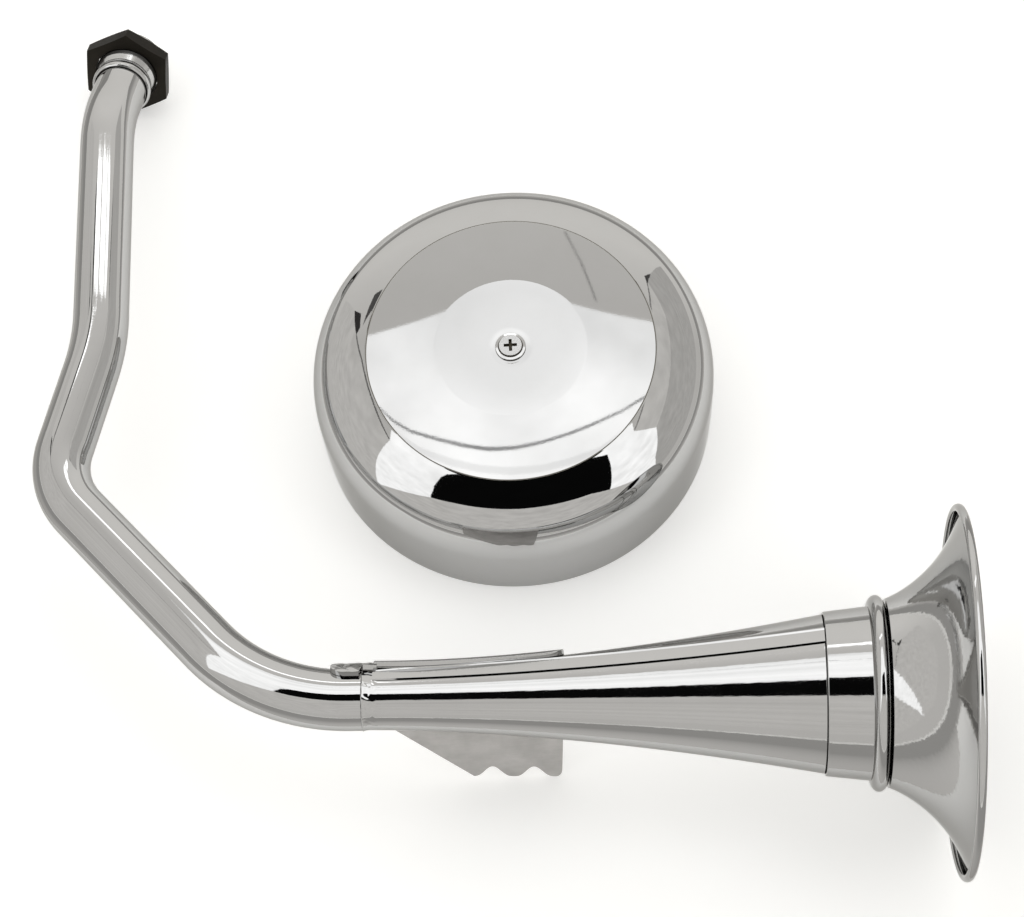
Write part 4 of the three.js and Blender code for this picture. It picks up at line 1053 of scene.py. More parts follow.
# %% [markdown]
# ## Cover
# The cover is spun from sheet: a full round shoulder, a thin crease, and a face that is almost flat.
# A mirror this flat magnifies its own form, so the face's few tenths of a millimetre decide what the
# room's reflection looks like. The face dips a little round the screw and then falls off slowly to
# the crease, which is a step of a third of a millimetre. The cover's inside is seen only when it is
# lifted off, so it keeps one point of four.

# %% Cover
COVER_RADIUS, COVER_DRAW, COVER_WIDEST, COVER_WALL = 66.5, 0.7, 24.0, 0.9
CREASE_RADIUS, CREASE_HEIGHT, FACE_RISE = 47.6, 44.2, 0.7
CREASE_STEP, CREASE_STEP_RISE = 0.35, 0.14
DIMPLE_RADIUS, DIMPLE_SLOPE, DIMPLE_REACH = 7.5, 1.6, 1.5
DISH_RADIUS, DISH_SLOPE, FACE_SLOPE, FACE_SLOPE_GAIN = 25.0, 0.5, 1.0, 2.2
SHOULDER_ANGLE, SHOULDER_RISE_SHARE, SHOULDER_RUN_SHARE = 15.5, 0.66, 0.61
COVER_HOLE, COVER_SIDES, CREASE_INSET_SHARE = 2.6, 256, 0.3
SHOULDER_STEPS, FACE_STEPS, SKIRT_STEPS, INSIDE_STRIDE = 90, 110, 16, 4


def face_slope(radius):
    """Fall of the face outward, in degrees, at a radius."""
    if radius < DISH_RADIUS:
        dimple = max(0.0, 1 - abs(radius - DIMPLE_RADIUS + DIMPLE_REACH) / DIMPLE_REACH)
        return -DISH_SLOPE * math.sin(math.pi * radius / DISH_RADIUS) - DIMPLE_SLOPE * dimple
    share = (radius - DISH_RADIUS) / (CREASE_RADIUS - DISH_RADIUS)
    return FACE_SLOPE + FACE_SLOPE_GAIN * share


def face_heights():
    """Radius and height pairs from the crease in to the hole, from the slopes."""
    height = CREASE_HEIGHT + CREASE_STEP_RISE
    radii = spread(CREASE_RADIUS - CREASE_STEP, COVER_HOLE, FACE_STEPS)
    points = [(radii[0], height)]
    for before, radius in zip(radii, radii[1:]):
        height += (before - radius) * math.tan(math.radians(face_slope((before + radius) / 2)))
        points.append((radius, height))
    return points


def cover_section(inset):
    """The cover's section from its skirt's foot to the hole, set inward by its wall."""
    widest = (COVER_RADIUS - inset, COVER_WIDEST)
    crease = (CREASE_RADIUS - inset * CREASE_INSET_SHARE, CREASE_HEIGHT - inset)
    across = (widest[0] - crease[0]) * SHOULDER_RUN_SHARE
    handles = [widest, (widest[0], widest[1] + (crease[1] - widest[1]) * SHOULDER_RISE_SHARE),
               (crease[0] + across, crease[1] - across * math.tan(math.radians(SHOULDER_ANGLE))), crease]
    skirt = [(widest[0] - COVER_DRAW * (1 - share) ** 2, COVER_WIDEST * share)
             for share in spread(0, 1, SKIRT_STEPS)[:-1]]
    shoulder = [tuple(bezier(handles, share)[0]) for share in spread(0, 1, SHOULDER_STEPS)]
    return skirt + shoulder + [(radius, height - inset) for radius, height in face_heights()]


inside = cover_section(COVER_WALL)
inside = inside[:-1:INSIDE_STRIDE] + inside[-1:]
cover_outline = soften(cover_section(0) + inside[::-1], EDGE_ROUNDING)
cover = turned("spun_cover", cover_outline, cover_place, COVER_SIDES)
dress(cover, "cover_body", plated_cover, "chrome_plate", "dome_cover")
print("cover face at the hole:", round(face_heights()[-1][1], 2), "mm")

# %% [markdown]
# ## Cover screw
# A plated pan head screw with a cross recess and a thin washer face holds the cover. The cross is milled
# with two crossed bars, and the head's edges are softened, since they are all that the eye sees of it.

# %% Cover screw
SCREW_RADIUS, SCREW_LIP_RADIUS, SCREW_HEAD_RADIUS = 2.0, 5.0, 3.8
SCREW_LIP_HEIGHT, SCREW_HEAD_HEIGHT, SCREW_LENGTH = 0.5, 1.3, 9.0
CROSS_SPAN, CROSS_WIDTH, CROSS_DEPTH, CROSS_ANGLE = 4.3, 1.05, 1.1, 3.0
LIP_EDGE_SHARE, LIP_SPREAD, HEAD_FOOT, HEAD_ROUNDING = 0.7, 0.25, 0.4, 0.15
FACE_TOP = CREASE_HEIGHT + FACE_RISE

screw_low = FACE_TOP + SEAT_GAP
screw_top = screw_low + SCREW_HEAD_HEIGHT
lip_edge = screw_low + SCREW_LIP_HEIGHT * LIP_EDGE_SHARE


def slot_bar(name, length, width, low, high, place):
    """A bar that mills a slot: as long and as wide as the slot, from its floor up."""
    work = bmesh.new()
    bmesh.ops.create_cube(work, size=1.0)
    bmesh.ops.scale(work, verts=work.verts, vec=(length * MM, width * MM, (high - low) * MM))
    bmesh.ops.translate(work, verts=work.verts, vec=(0, 0, (high + low) / 2 * MM))
    return finished(name, work, place)


def slotted(piece, top, slots, place):
    """Mills slots of (turn, length, width, depth) into the top of a turned piece."""
    for turn, length, width, depth in slots:
        bar = slot_bar(piece.name + "_slot", length, width, top - depth, top + 1,
                       place @ Matrix.Rotation(math.radians(turn), 4, "Z"))
        trim(piece, bar)


screw = turned("cross_recess_screw", soften([
    (0, screw_low - SCREW_LENGTH), (SCREW_RADIUS, screw_low - SCREW_LENGTH), (SCREW_RADIUS, screw_low),
    (SCREW_LIP_RADIUS, screw_low), (SCREW_LIP_RADIUS, lip_edge),
    (SCREW_HEAD_RADIUS + LIP_SPREAD, screw_low + SCREW_LIP_HEIGHT),
    (SCREW_HEAD_RADIUS, screw_low + HEAD_FOOT), (SCREW_HEAD_RADIUS, screw_top), (0, screw_top),
], HEAD_ROUNDING), cover_place)
crossed = [(CROSS_ANGLE + turn, CROSS_SPAN, CROSS_WIDTH, CROSS_DEPTH) for turn in (0, 90)]
slotted(screw, screw_top, crossed, cover_place)
dress(screw, "cover_screw_body", plated_fitting, "chrome_plate", "cover_screw")

# %% [markdown]
# ## Painted shade in recesses
# The screw's cross and the corner under its head are painted dark, and the cover's crease is painted as
# a fine grey line: painted shade. The faces there are picked by their place and get a dull material of
# their own. The washer face round the head is bright plating.

# %% Painted shade in recesses
SHADE_SPECKLE_SIZE, FACE_MARGIN, TOP_MARGIN = 0.4, 0.05, 0.02
WALL_REACH, WALL_TOP_MARGIN = 0.3, 0.2


def painted_shade_material(name, dark, light, metallic):
    """Painted shade: dull and speckled, between two colours."""
    material, tree, shader = new_material(name, Metallic=metallic)
    place = add_node(tree, "TexCoord")
    shade_speckle = add_node(tree, "TexNoise", {"Scale": 1 / (SHADE_SPECKLE_SIZE * MM), "Detail": 4.0},
                      {"Vector": place.outputs["Object"]})
    tint = add_node(tree, "Mix", {"data_type": "RGBA", 6: srgb(dark), 7: srgb(light)},
                    {0: shade_speckle.outputs["Fac"]})
    gloss = add_node(tree, "MapRange", {"To Min": 0.4, "To Max": 0.7}, {"Value": shade_speckle.outputs["Fac"]})
    join_up(tree, shader, tint, gloss)
    return material


# dark colours painted as shade in the screw's recesses and in the cover's crease
recess_painted_shade = painted_shade_material("painted_shade_in_recess", "#1E1A12", "#4A4230", 0.3)
crease_painted_shade = painted_shade_material("painted_shade_in_crease", "#5A5751", "#8A8780", 0.8)

# the cross and the head's side wall get the painted shade, the washer face gets plating
screw.data.materials.append(recess_painted_shade)
screw.data.materials.append(plated_brass)
for face in screw.data.polygons:
    spot = face.center / MM
    around = math.hypot(spot.x, spot.y)
    in_cross = (around < CROSS_SPAN / 2 + FACE_MARGIN
                and screw_top - CROSS_DEPTH - FACE_MARGIN < spot.z < screw_top - TOP_MARGIN)
    on_wall = (SCREW_HEAD_RADIUS - FACE_MARGIN < around < SCREW_HEAD_RADIUS + WALL_REACH
               and lip_edge < spot.z < screw_top - WALL_TOP_MARGIN)
    if in_cross or on_wall:
        face.material_index = 1
    elif around > SCREW_HEAD_RADIUS + WALL_REACH:
        face.material_index = 2
print("shade_painted faces:", sum(face.material_index == 1 for face in screw.data.polygons))

# the crease gets a painted grey line of shade
cover.data.materials.append(crease_painted_shade)
for face in cover.data.polygons:
    spot = face.center / MM
    around = math.hypot(spot.x, spot.y)
    if CREASE_RADIUS - CREASE_STEP < around < CREASE_RADIUS and spot.z > CREASE_HEIGHT - COVER_WALL / 2:
        face.material_index = 1
print("crease faces:", sum(face.material_index == 1 for face in cover.data.polygons))

# %% [markdown]
# ## Finish: zinc-plated steel
# The small steel parts are zinc plated and passivated. Zinc is a grey metal with a faint warm sheen
# where the passivation is thicker, and its gloss changes from grain to grain. Two scales of noise do
# that: large patches for the colour, and fine grains for gloss and bump.

# %% Zinc-plated steel
# zinc's own grains are under 0.1 mm wide, and are drawn coarser to show
ZINC_PATCH, ZINC_GRAIN, ZINC_DEPTH = 5.0, 0.7, 0.03

zinc_steel, tree, shader = new_material("zinc_plated_steel", Metallic=1.0)
place = add_node(tree, "TexCoord")
patches = add_node(tree, "TexNoise", {"Scale": 1 / (ZINC_PATCH * MM), "Detail": 4.0},
                   {"Vector": place.outputs["Object"]})
grains = add_node(tree, "TexVoronoi", {"Scale": 1 / (ZINC_GRAIN * MM)}, {"Vector": place.outputs["Object"]})
tint = add_node(tree, "Mix", {"data_type": "RGBA", 6: srgb("#A9A8A4"), 7: srgb("#BDB9A6")},
                {0: patches.outputs["Fac"]})
gloss = add_node(tree, "MapRange", {"From Max": 0.8, "To Min": 0.3, "To Max": 0.44},
                 {"Value": grains.outputs["Distance"]})
bump = add_node(tree, "Bump", {"Strength": 0.12, "Distance": ZINC_DEPTH * MM},
                {"Height": grains.outputs["Distance"]})
join_up(tree, shader, tint, gloss, bump)

# %% [markdown]
# ## Finish: rolled spring steel
# The diaphragm is hard rolled sheet. Rolling leaves fine straight lines all one way, and a light film of
# oil keeps the rust off, so the gloss changes in soft clouds.

# %% Rolled spring steel
# real rolling lines are some 0.05 mm apart, and are drawn coarser to show
LINE_SPACING, LINE_STRETCH, LINE_DEPTH, OIL_CLOUD = 0.25, (0.03, 1, 1), 0.02, 12.0

spring_steel, tree, shader = new_material("rolled_spring_steel_oiled", Metallic=1.0)
place = add_node(tree, "TexCoord")
along = add_node(tree, "Mapping", {"Scale": LINE_STRETCH}, {"Vector": place.outputs["Object"]})
lines = add_node(tree, "TexNoise", {"Scale": 1 / (LINE_SPACING * MM), "Detail": 3.0},
                 {"Vector": along.outputs["Vector"]})
oil = add_node(tree, "TexNoise", {"Scale": 1 / (OIL_CLOUD * MM), "Detail": 2.0},
               {"Vector": place.outputs["Object"]})
tint = add_node(tree, "Mix", {"data_type": "RGBA", 6: srgb("#8A8782"), 7: srgb("#9B9892")},
                {0: lines.outputs["Fac"]})
gloss = add_node(tree, "MapRange", {"From Min": 0.35, "From Max": 0.65, "To Min": 0.2, "To Max": 0.36},
                 {"Value": oil.outputs["Fac"]})
bump = add_node(tree, "Bump", {"Strength": 0.1, "Distance": LINE_DEPTH * MM},
                {"Height": lines.outputs["Fac"]})
join_up(tree, shader, tint, gloss, bump)

# %% [markdown]
# ## Finish: die-cast zinc alloy
# The sound plate is cast in a steel die. Its skin is dull, a little mottled where the metal met the cold
# die, and pebbled at the scale of a few tenths of a millimetre.

# %% Die-cast alloy
CAST_MOTTLE, CAST_PEBBLE, CAST_DEPTH = 8.0, 0.35, 0.05

cast_alloy, tree, shader = new_material("die_cast_zinc_alloy", Metallic=1.0)
place = add_node(tree, "TexCoord")
mottle = add_node(tree, "TexNoise", {"Scale": 1 / (CAST_MOTTLE * MM), "Detail": 6.0, "Roughness": 0.65},
                  {"Vector": place.outputs["Object"]})
pebbles = add_node(tree, "TexNoise", {"Scale": 1 / (CAST_PEBBLE * MM), "Detail": 3.0},
                   {"Vector": place.outputs["Object"]})
tint = add_node(tree, "Mix", {"data_type": "RGBA", 6: srgb("#87898B"), 7: srgb("#A2A3A4")},
                {0: mottle.outputs["Fac"]})
gloss = add_node(tree, "MapRange", {"To Min": 0.46, "To Max": 0.64}, {"Value": mottle.outputs["Fac"]})
bump = add_node(tree, "Bump", {"Strength": 0.3, "Distance": CAST_DEPTH * MM},
                {"Height": pebbles.outputs["Fac"]})
join_up(tree, shader, tint, gloss, bump)

# %% [markdown]
# ## Finish: black stove enamel
# The pressed housing is sprayed and baked. Baked enamel flows out but not quite flat: its soft waves,
# about a millimetre wide, are called orange peel. A trace of dust dulls it in patches.

# %% Black stove enamel
DUST_PATCH, PEEL_SIZE, PEEL_DEPTH = 10.0, 1.1, 0.06

enamel, tree, shader = new_material("black_stove_enamel", Coat_Weight=0.5, Coat_Roughness=0.12)
place = add_node(tree, "TexCoord")
dust = add_node(tree, "TexNoise", {"Scale": 1 / (DUST_PATCH * MM), "Detail": 5.0},
                {"Vector": place.outputs["Object"]})
peel = add_node(tree, "TexNoise", {"Scale": 1 / (PEEL_SIZE * MM), "Detail": 1.0},
                {"Vector": place.outputs["Object"]})
tint = add_node(tree, "Mix", {"data_type": "RGBA", 6: srgb("#1B1C1E"), 7: srgb("#2A2B2C")},
                {0: dust.outputs["Fac"]})
gloss = add_node(tree, "MapRange", {"To Min": 0.28, "To Max": 0.46}, {"Value": dust.outputs["Fac"]})
bump = add_node(tree, "Bump", {"Strength": 0.15, "Distance": PEEL_DEPTH * MM},
                {"Height": peel.outputs["Fac"]})
join_up(tree, shader, tint, gloss, bump)

# %% [markdown]
# ## Finish: turned brass
# The electric parts are brass, which doesn't rust and carries current well. It is yellow where bright
# and browner where fingers touched it. The lathe's feed marks are rings across the axis, so the noise
# is squeezed along Z.

# %% Turned brass
FEED_SPACING, FEED_STRETCH, FEED_DEPTH, TARNISH_SPOT = 0.18, (0.04, 0.04, 1), 0.02, 4.0

brass, tree, shader = new_material("turned_brass", Metallic=1.0)
place = add_node(tree, "TexCoord")
tarnish = add_node(tree, "TexNoise", {"Scale": 1 / (TARNISH_SPOT * MM), "Detail": 5.0},
                   {"Vector": place.outputs["Object"]})
tall = add_node(tree, "Mapping", {"Scale": FEED_STRETCH}, {"Vector": place.outputs["Object"]})
rings = add_node(tree, "TexNoise", {"Scale": 1 / (FEED_SPACING * MM), "Detail": 2.0},
                 {"Vector": tall.outputs["Vector"]})
tone = add_node(tree, "MapRange", {"From Min": 0.38, "From Max": 0.68}, {"Value": tarnish.outputs["Fac"]})
tint = add_node(tree, "Mix", {"data_type": "RGBA", 6: srgb("#C9A45C"), 7: srgb("#9C7838")},
                {0: tone.outputs["Result"]})
gloss = add_node(tree, "MapRange", {"To Min": 0.22, "To Max": 0.4}, {"Value": tarnish.outputs["Fac"]})
bump = add_node(tree, "Bump", {"Strength": 0.12, "Distance": FEED_DEPTH * MM},
                {"Height": rings.outputs["Fac"]})
join_up(tree, shader, tint, gloss, bump)

# %% [markdown]
# ## Finish: enamelled copper wire
# Winding wire is copper under a thin clear brown enamel. The enamel is a coat: it keeps its own sharp
# gloss over the softer metal. Its colour varies a little from turn to turn, so the noise is squeezed
# along the coil's axis.

# %% Enamelled copper wire
TURN_SPACING, TURN_STRETCH = 0.9, (0.15, 0.15, 1)

copper, tree, shader = new_material("enamelled_copper_wire", Metallic=0.9, Coat_Weight=0.8,
                                    Coat_Roughness=0.14)
place = add_node(tree, "TexCoord")
flat = add_node(tree, "Mapping", {"Scale": TURN_STRETCH}, {"Vector": place.outputs["Object"]})
turns = add_node(tree, "TexNoise", {"Scale": 1 / (TURN_SPACING * MM), "Detail": 2.0},
                 {"Vector": flat.outputs["Vector"]})
tone = add_node(tree, "MapRange", {"From Min": 0.3, "From Max": 0.7}, {"Value": turns.outputs["Fac"]})
tint = add_node(tree, "Mix", {"data_type": "RGBA", 6: srgb("#8A4A26"), 7: srgb("#B5693A")},
                {0: tone.outputs["Result"]})
gloss = add_node(tree, "MapRange", {"To Min": 0.26, "To Max": 0.4}, {"Value": turns.outputs["Fac"]})
join_up(tree, shader, tint, gloss)

# %% [markdown]
# ## Finish: vulcanised fibre
# The gaskets are stamped from vulcanised fibre, which is pressed paper: dull, red-brown, with the short
# hairs of the paper still to be seen. Stretched noise gives the hairs, in colour and bump.

# %% Vulcanised fibre
# the paper's hairs are about 0.03 mm thick, and are drawn coarser to show
HAIR_SIZE, HAIR_STRETCH, HAIR_TURN, HAIR_DEPTH = 0.5, (0.25, 1, 1), 0.5, 0.04

fibre, tree, shader = new_material("vulcanised_fibre_sheet")
place = add_node(tree, "TexCoord")
pressed = add_node(tree, "Mapping", {"Scale": HAIR_STRETCH, "Rotation": (0, 0, HAIR_TURN)},
                   {"Vector": place.outputs["Object"]})
hairs = add_node(tree, "TexNoise", {"Scale": 1 / (HAIR_SIZE * MM), "Detail": 5.0, "Distortion": 0.6},
                 {"Vector": pressed.outputs["Vector"]})
tint = add_node(tree, "Mix", {"data_type": "RGBA", 6: srgb("#5B3927"), 7: srgb("#7E543C")},
                {0: hairs.outputs["Fac"]})
gloss = add_node(tree, "MapRange", {"To Min": 0.66, "To Max": 0.85}, {"Value": hairs.outputs["Fac"]})
bump = add_node(tree, "Bump", {"Strength": 0.3, "Distance": HAIR_DEPTH * MM},
                {"Height": hairs.outputs["Fac"]})
join_up(tree, shader, tint, gloss, bump)

# %% [markdown]
# ## Finish: phenolic laminate
# Bobbin, bushes and block are phenolic resin with paper in it: dark brown and half glossy, with the
# layers showing as thin bands on every machined edge.

# %% Phenolic laminate
# a real layer is about 0.15 mm thick, and is drawn coarser to show
LAYER_THICKNESS, LAYER_STRETCH, FLECK_SIZE, FLECK_DEPTH = 0.4, (0.05, 0.05, 1), 1.2, 0.03

phenolic, tree, shader = new_material("phenolic_laminate")
place = add_node(tree, "TexCoord")
flat = add_node(tree, "Mapping", {"Scale": LAYER_STRETCH}, {"Vector": place.outputs["Object"]})
layers = add_node(tree, "TexNoise", {"Scale": 1 / (LAYER_THICKNESS * MM), "Detail": 3.0},
                  {"Vector": flat.outputs["Vector"]})
flecks = add_node(tree, "TexNoise", {"Scale": 1 / (FLECK_SIZE * MM), "Detail": 5.0},
                  {"Vector": place.outputs["Object"]})
mixed = add_node(tree, "Math", {"operation": "MULTIPLY"},
                 {0: layers.outputs["Fac"], 1: flecks.outputs["Fac"]})
tone = add_node(tree, "MapRange", {"From Min": 0.12, "From Max": 0.42}, {"Value": mixed.outputs[0]})
tint = add_node(tree, "Mix", {"data_type": "RGBA", 6: srgb("#2C1910"), 7: srgb("#5A3722")},
                {0: tone.outputs["Result"]})
gloss = add_node(tree, "MapRange", {"To Min": 0.34, "To Max": 0.5}, {"Value": flecks.outputs["Fac"]})
bump = add_node(tree, "Bump", {"Strength": 0.1, "Distance": FLECK_DEPTH * MM},
                {"Height": flecks.outputs["Fac"]})
join_up(tree, shader, tint, gloss, bump)

# %% [markdown]
# ## Finish: silver contacts
# Sparks burn brass, so the two contact points are silver. Use leaves them grey and slightly pitted.

# %% Silver contacts
PIT_SIZE = 0.3

silver, tree, shader = new_material("sparked_silver", Metallic=1.0)
place = add_node(tree, "TexCoord")
pits = add_node(tree, "TexNoise", {"Scale": 1 / (PIT_SIZE * MM), "Detail": 4.0},
                {"Vector": place.outputs["Object"]})
tint = add_node(tree, "Mix", {"data_type": "RGBA", 6: srgb("#7C7A76"), 7: srgb("#C9C7C2")},
                {0: pits.outputs["Fac"]})
gloss = add_node(tree, "MapRange", {"To Min": 0.25, "To Max": 0.5}, {"Value": pits.outputs["Fac"]})
join_up(tree, shader, tint, gloss)

# %% [markdown]
# ## Tools for the driver's pieces
# A few more helpers are enough for everything inside the driver. One drills holes, one cuts the outline
# of a sheet part and gives it thickness, one writes the zigzag of a screw thread into a turned outline,
# and one gives a place beside the cover's axis. A real thread climbs as a helix, but at this size its
# rings can't be told from one. The edges are as round as each way of making leaves them.

# %% Tools for the driver's pieces
THREAD_PITCH, THREAD_DEPTH, CREST_START, CREST_END = 0.8, 0.28, 0.45, 0.55
SMALL_SIDES = 48
DRILL_OVERRUN = 1.0
CAST_EDGE, SAWN_EDGE, TURNED_EDGE, FINE_EDGE, STAMPED_EDGE = 0.6, 0.4, 0.3, 0.15, 0.1
THREAD_START, THREAD_END, TIP_EASE = 0.1, 0.4, 0.5
SMALL_NUT_WIDTH, SMALL_NUT_EASE, INNER_NUT_TURN = 7.0, 0.3, 30.0


def drilled(piece, places, radius, low, high):
    """Drills upright holes through a piece's two faces, at places from the cover's axis."""
    work = bmesh.new()
    for x, y in places:
        rings = []
        for height in (low - DRILL_OVERRUN, high + DRILL_OVERRUN):
            ring = []
            for step in range(SMALL_SIDES):
                angle = 2 * math.pi * step / SMALL_SIDES
                ring.append(work.verts.new((
                    (x + radius * math.cos(angle)) * MM, (y + radius * math.sin(angle)) * MM,
                    height * MM)))
            rings.append(ring)
        join_rings(work, rings, closed=False)
        work.faces.new(rings[0])
        work.faces.new(rings[1])
    trim(piece, finished(piece.name + "_drills", work, cover_place))


def sheet_part(name, outline, low, high, place, edge=FINE_EDGE):
    """An outline in the local XY plane, cut from sheet between two heights, with eased edges."""
    work = bmesh.new()
    rings = [[work.verts.new((x * MM, y * MM, height * MM)) for x, y in outline]
             for height in (low, high)]
    join_rings(work, rings, closed=False)
    work.faces.new(rings[0])
    work.faces.new(rings[1])
    return bevel_edges(finished(name, work, place), edge, angle=SHEET_EDGE_ANGLE, segments=2)


def thread(radius, low, high):
    """Zigzag points of a screw thread, up along a turned outline."""
    turns = int((high - low) / THREAD_PITCH)
    start = high - turns * THREAD_PITCH
    points = []
    for i in range(turns):
        foot = start + i * THREAD_PITCH
        points += [(radius - THREAD_DEPTH, foot), (radius, foot + THREAD_PITCH * CREST_START),
                   (radius, foot + THREAD_PITCH * CREST_END)]
    return points + [(radius - THREAD_DEPTH, high)]


def threaded(name, head, rest, place, sides=SMALL_SIDES):
    """A turned piece whose outline has a softened part and a threaded part."""
    return turned(name, soften(head, FINE_EDGE, 2) + rest, place, sides)


def beside(x, y):
    """A place at a distance from the cover's axis, upright."""
    return cover_place @ Matrix.Translation((x * MM, y * MM, 0))


# %% [markdown]
# ## Sound plate, gaskets and diaphragm
# These four are clamped in one stack by six screws. The cast sound plate has the outlet boss below and a
# shallow chamber above. The diaphragm is thin steel with one pressed ring, which lets it move up and
# down without buckling. The heights repeat those of the CAD part: every layer starts where the one
# below ends. When the magnet pulls, the real diaphragm bends upward in the middle. Here the thin sheet
# draws up flat toward the back gasket instead, which keeps it clear of the nut that rises below it.

# %% Sound plate, gaskets and diaphragm
FLANGE_RADIUS, HOUSING_RADIUS, SCREW_CIRCLE = 60.0, 46.0, 54.0
FLANGE_HOLE, GASKET_INSET = 2.2, 1.0
OUTLET_LENGTH, OUTLET_RADIUS, OUTLET_BORE, OUTLET_THROAT = 12.0, 15.0, 11.1, 6.0
PLATE_THICKNESS, CHAMBER_DEPTH, GASKET, DIAPHRAGM = 3.0, 1.2, 0.8, 0.5
RIB_RADIUS, RIB_HALF, RIB_DEPTH, RIB_STEPS = 36.0, 6.0, 0.8, 24
DIAPHRAGM_HOLE, DIAPHRAGM_INNER, DIAPHRAGM_OUTER = 3.3, 16.0, 50.0
DRIVER_SIDES = 144

plate_top = OUTLET_LENGTH + PLATE_THICKNESS
front_gasket_low = plate_top + SEAT_GAP
diaphragm_low = front_gasket_low + GASKET + SEAT_GAP
diaphragm_top = diaphragm_low + DIAPHRAGM
back_gasket_low = diaphragm_top + SEAT_GAP
flange_low = back_gasket_low + GASKET + SEAT_GAP
screw_spots = [(SCREW_CIRCLE * math.cos(math.radians(a)), SCREW_CIRCLE * math.sin(math.radians(a)))
               for a in range(30, 390, 60)]

sound_plate = turned("cast_sound_plate", soften([
    (OUTLET_BORE, 0), (OUTLET_RADIUS, 0), (OUTLET_RADIUS, OUTLET_LENGTH), (FLANGE_RADIUS, OUTLET_LENGTH),
    (FLANGE_RADIUS, plate_top), (HOUSING_RADIUS, plate_top),
    (HOUSING_RADIUS, plate_top - CHAMBER_DEPTH), (OUTLET_THROAT, plate_top - CHAMBER_DEPTH),
    (OUTLET_THROAT, OUTLET_LENGTH - SEAT_GAP), (OUTLET_BORE, OUTLET_LENGTH - SEAT_GAP),
], CAST_EDGE), cover_place, DRIVER_SIDES)
drilled(sound_plate, screw_spots, FLANGE_HOLE, OUTLET_LENGTH, plate_top)
dress(sound_plate, "horn_set", cast_alloy, "cast_alloy", "sound_plate")

for name, node, low in (("front_fibre_gasket", "front_gasket", front_gasket_low),
                        ("back_fibre_gasket", "back_gasket", back_gasket_low)):
    gasket = turned(name, soften([
        (HOUSING_RADIUS + GASKET_INSET, low), (FLANGE_RADIUS, low), (FLANGE_RADIUS, low + GASKET),
        (HOUSING_RADIUS + GASKET_INSET, low + GASKET)], STAMPED_EDGE, 2), cover_place, DRIVER_SIDES)
    drilled(gasket, screw_spots, FLANGE_HOLE, low, low + GASKET)
    dress(gasket, "horn_set", fibre, "fibre", node)


def rib(radius):
    """How deep the diaphragm's pressed ring lies at a radius."""
    reach = abs(radius - RIB_RADIUS) / RIB_HALF
    return RIB_DEPTH * (1 + math.cos(math.pi * reach)) / 2 if reach < 1 else 0.0


sheet_places = ([DIAPHRAGM_HOLE, DIAPHRAGM_INNER]
                + spread(RIB_RADIUS - RIB_HALF, RIB_RADIUS + RIB_HALF, RIB_STEPS)
                + [DIAPHRAGM_OUTER, FLANGE_RADIUS])
diaphragm = turned("pressed_diaphragm",
                   [(r, diaphragm_low - rib(r)) for r in sheet_places]
                   + [(r, diaphragm_top - rib(r)) for r in sheet_places[::-1]],
                   cover_place, DRIVER_SIDES)
drilled(diaphragm, screw_spots, FLANGE_HOLE, diaphragm_low, diaphragm_top)
dress(diaphragm, "horn_set", spring_steel, "plain_steel", "diaphragm")
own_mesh(diaphragm)

# %% [markdown]
# ## Housing and its screws
# The housing is a deep-drawn cup with a flange. Its corners are as round as the press made them, and its
# top has holes for the adjusting screw and the terminals' bushes. Six slotted screws hold the stack.

# %% Housing and its screws
HOUSING_WALL, HOUSING_HEIGHT, HOUSING_CORNER = 2.0, 19.7, 3.0
FOOT_ROUND, INNER_ROUND, CORNER_STEPS = 1.2, 1.5, 5
PILLAR_RADIUS = 4.0
ADJUSTER_PLACE, ADJUSTER_RADIUS = (36.0, 7.0), 2.0
TERMINAL_PLACES = {"a": (-30.0, 12.0), "b": (-30.0, -12.0)}
BUSH_RADIUS = 3.2
FLANGE_SCREW_RADIUS, FLANGE_SCREW_HEAD, FLANGE_SCREW_HEIGHT = 1.9, 3.6, 2.2
BOLT_RIM, BOLT_SLOPE, BOLT_CROWN, BOLT_EASE, BOLT_TURN = 1.0, 0.6, 0.25, 1.8, 17
SLOT_WIDTH, SLOT_DEPTH, SLOT_OVERRUN = 1.0, 0.9, 1.0

flange_top = flange_low + HOUSING_WALL
housing_top = flange_low + HOUSING_HEIGHT
ceiling = housing_top - HOUSING_WALL
bore = HOUSING_RADIUS - HOUSING_WALL


def quarter(centre, radius, start, end, steps=8):
    """An arc in a turned outline, between two angles in degrees."""
    return [(centre[0] + radius * math.cos(math.radians(a)),
             centre[1] + radius * math.sin(math.radians(a))) for a in spread(start, end, steps)]


housing = turned("drawn_housing", soften(
    [(bore, flange_low), (FLANGE_RADIUS, flange_low), (FLANGE_RADIUS, flange_top)]
    + quarter((HOUSING_RADIUS + FOOT_ROUND, flange_top + FOOT_ROUND), FOOT_ROUND, 270, 180, CORNER_STEPS)
    + quarter((HOUSING_RADIUS - HOUSING_CORNER, housing_top - HOUSING_CORNER), HOUSING_CORNER, 0, 90)
    + [(PILLAR_RADIUS + SEAT_GAP, housing_top), (PILLAR_RADIUS + SEAT_GAP, ceiling)]
    + quarter((bore - INNER_ROUND, ceiling - INNER_ROUND), INNER_ROUND, 90, 0, CORNER_STEPS), SAWN_EDGE),
    cover_place, DRIVER_SIDES)
drilled(housing, screw_spots, FLANGE_HOLE, flange_low, flange_top)
drilled(housing, [ADJUSTER_PLACE], ADJUSTER_RADIUS + SEAT_GAP, ceiling, housing_top)
drilled(housing, TERMINAL_PLACES.values(), BUSH_RADIUS + SEAT_GAP, ceiling, housing_top)
dress(housing, "horn_set", enamel, "black_paint", "driver_housing")

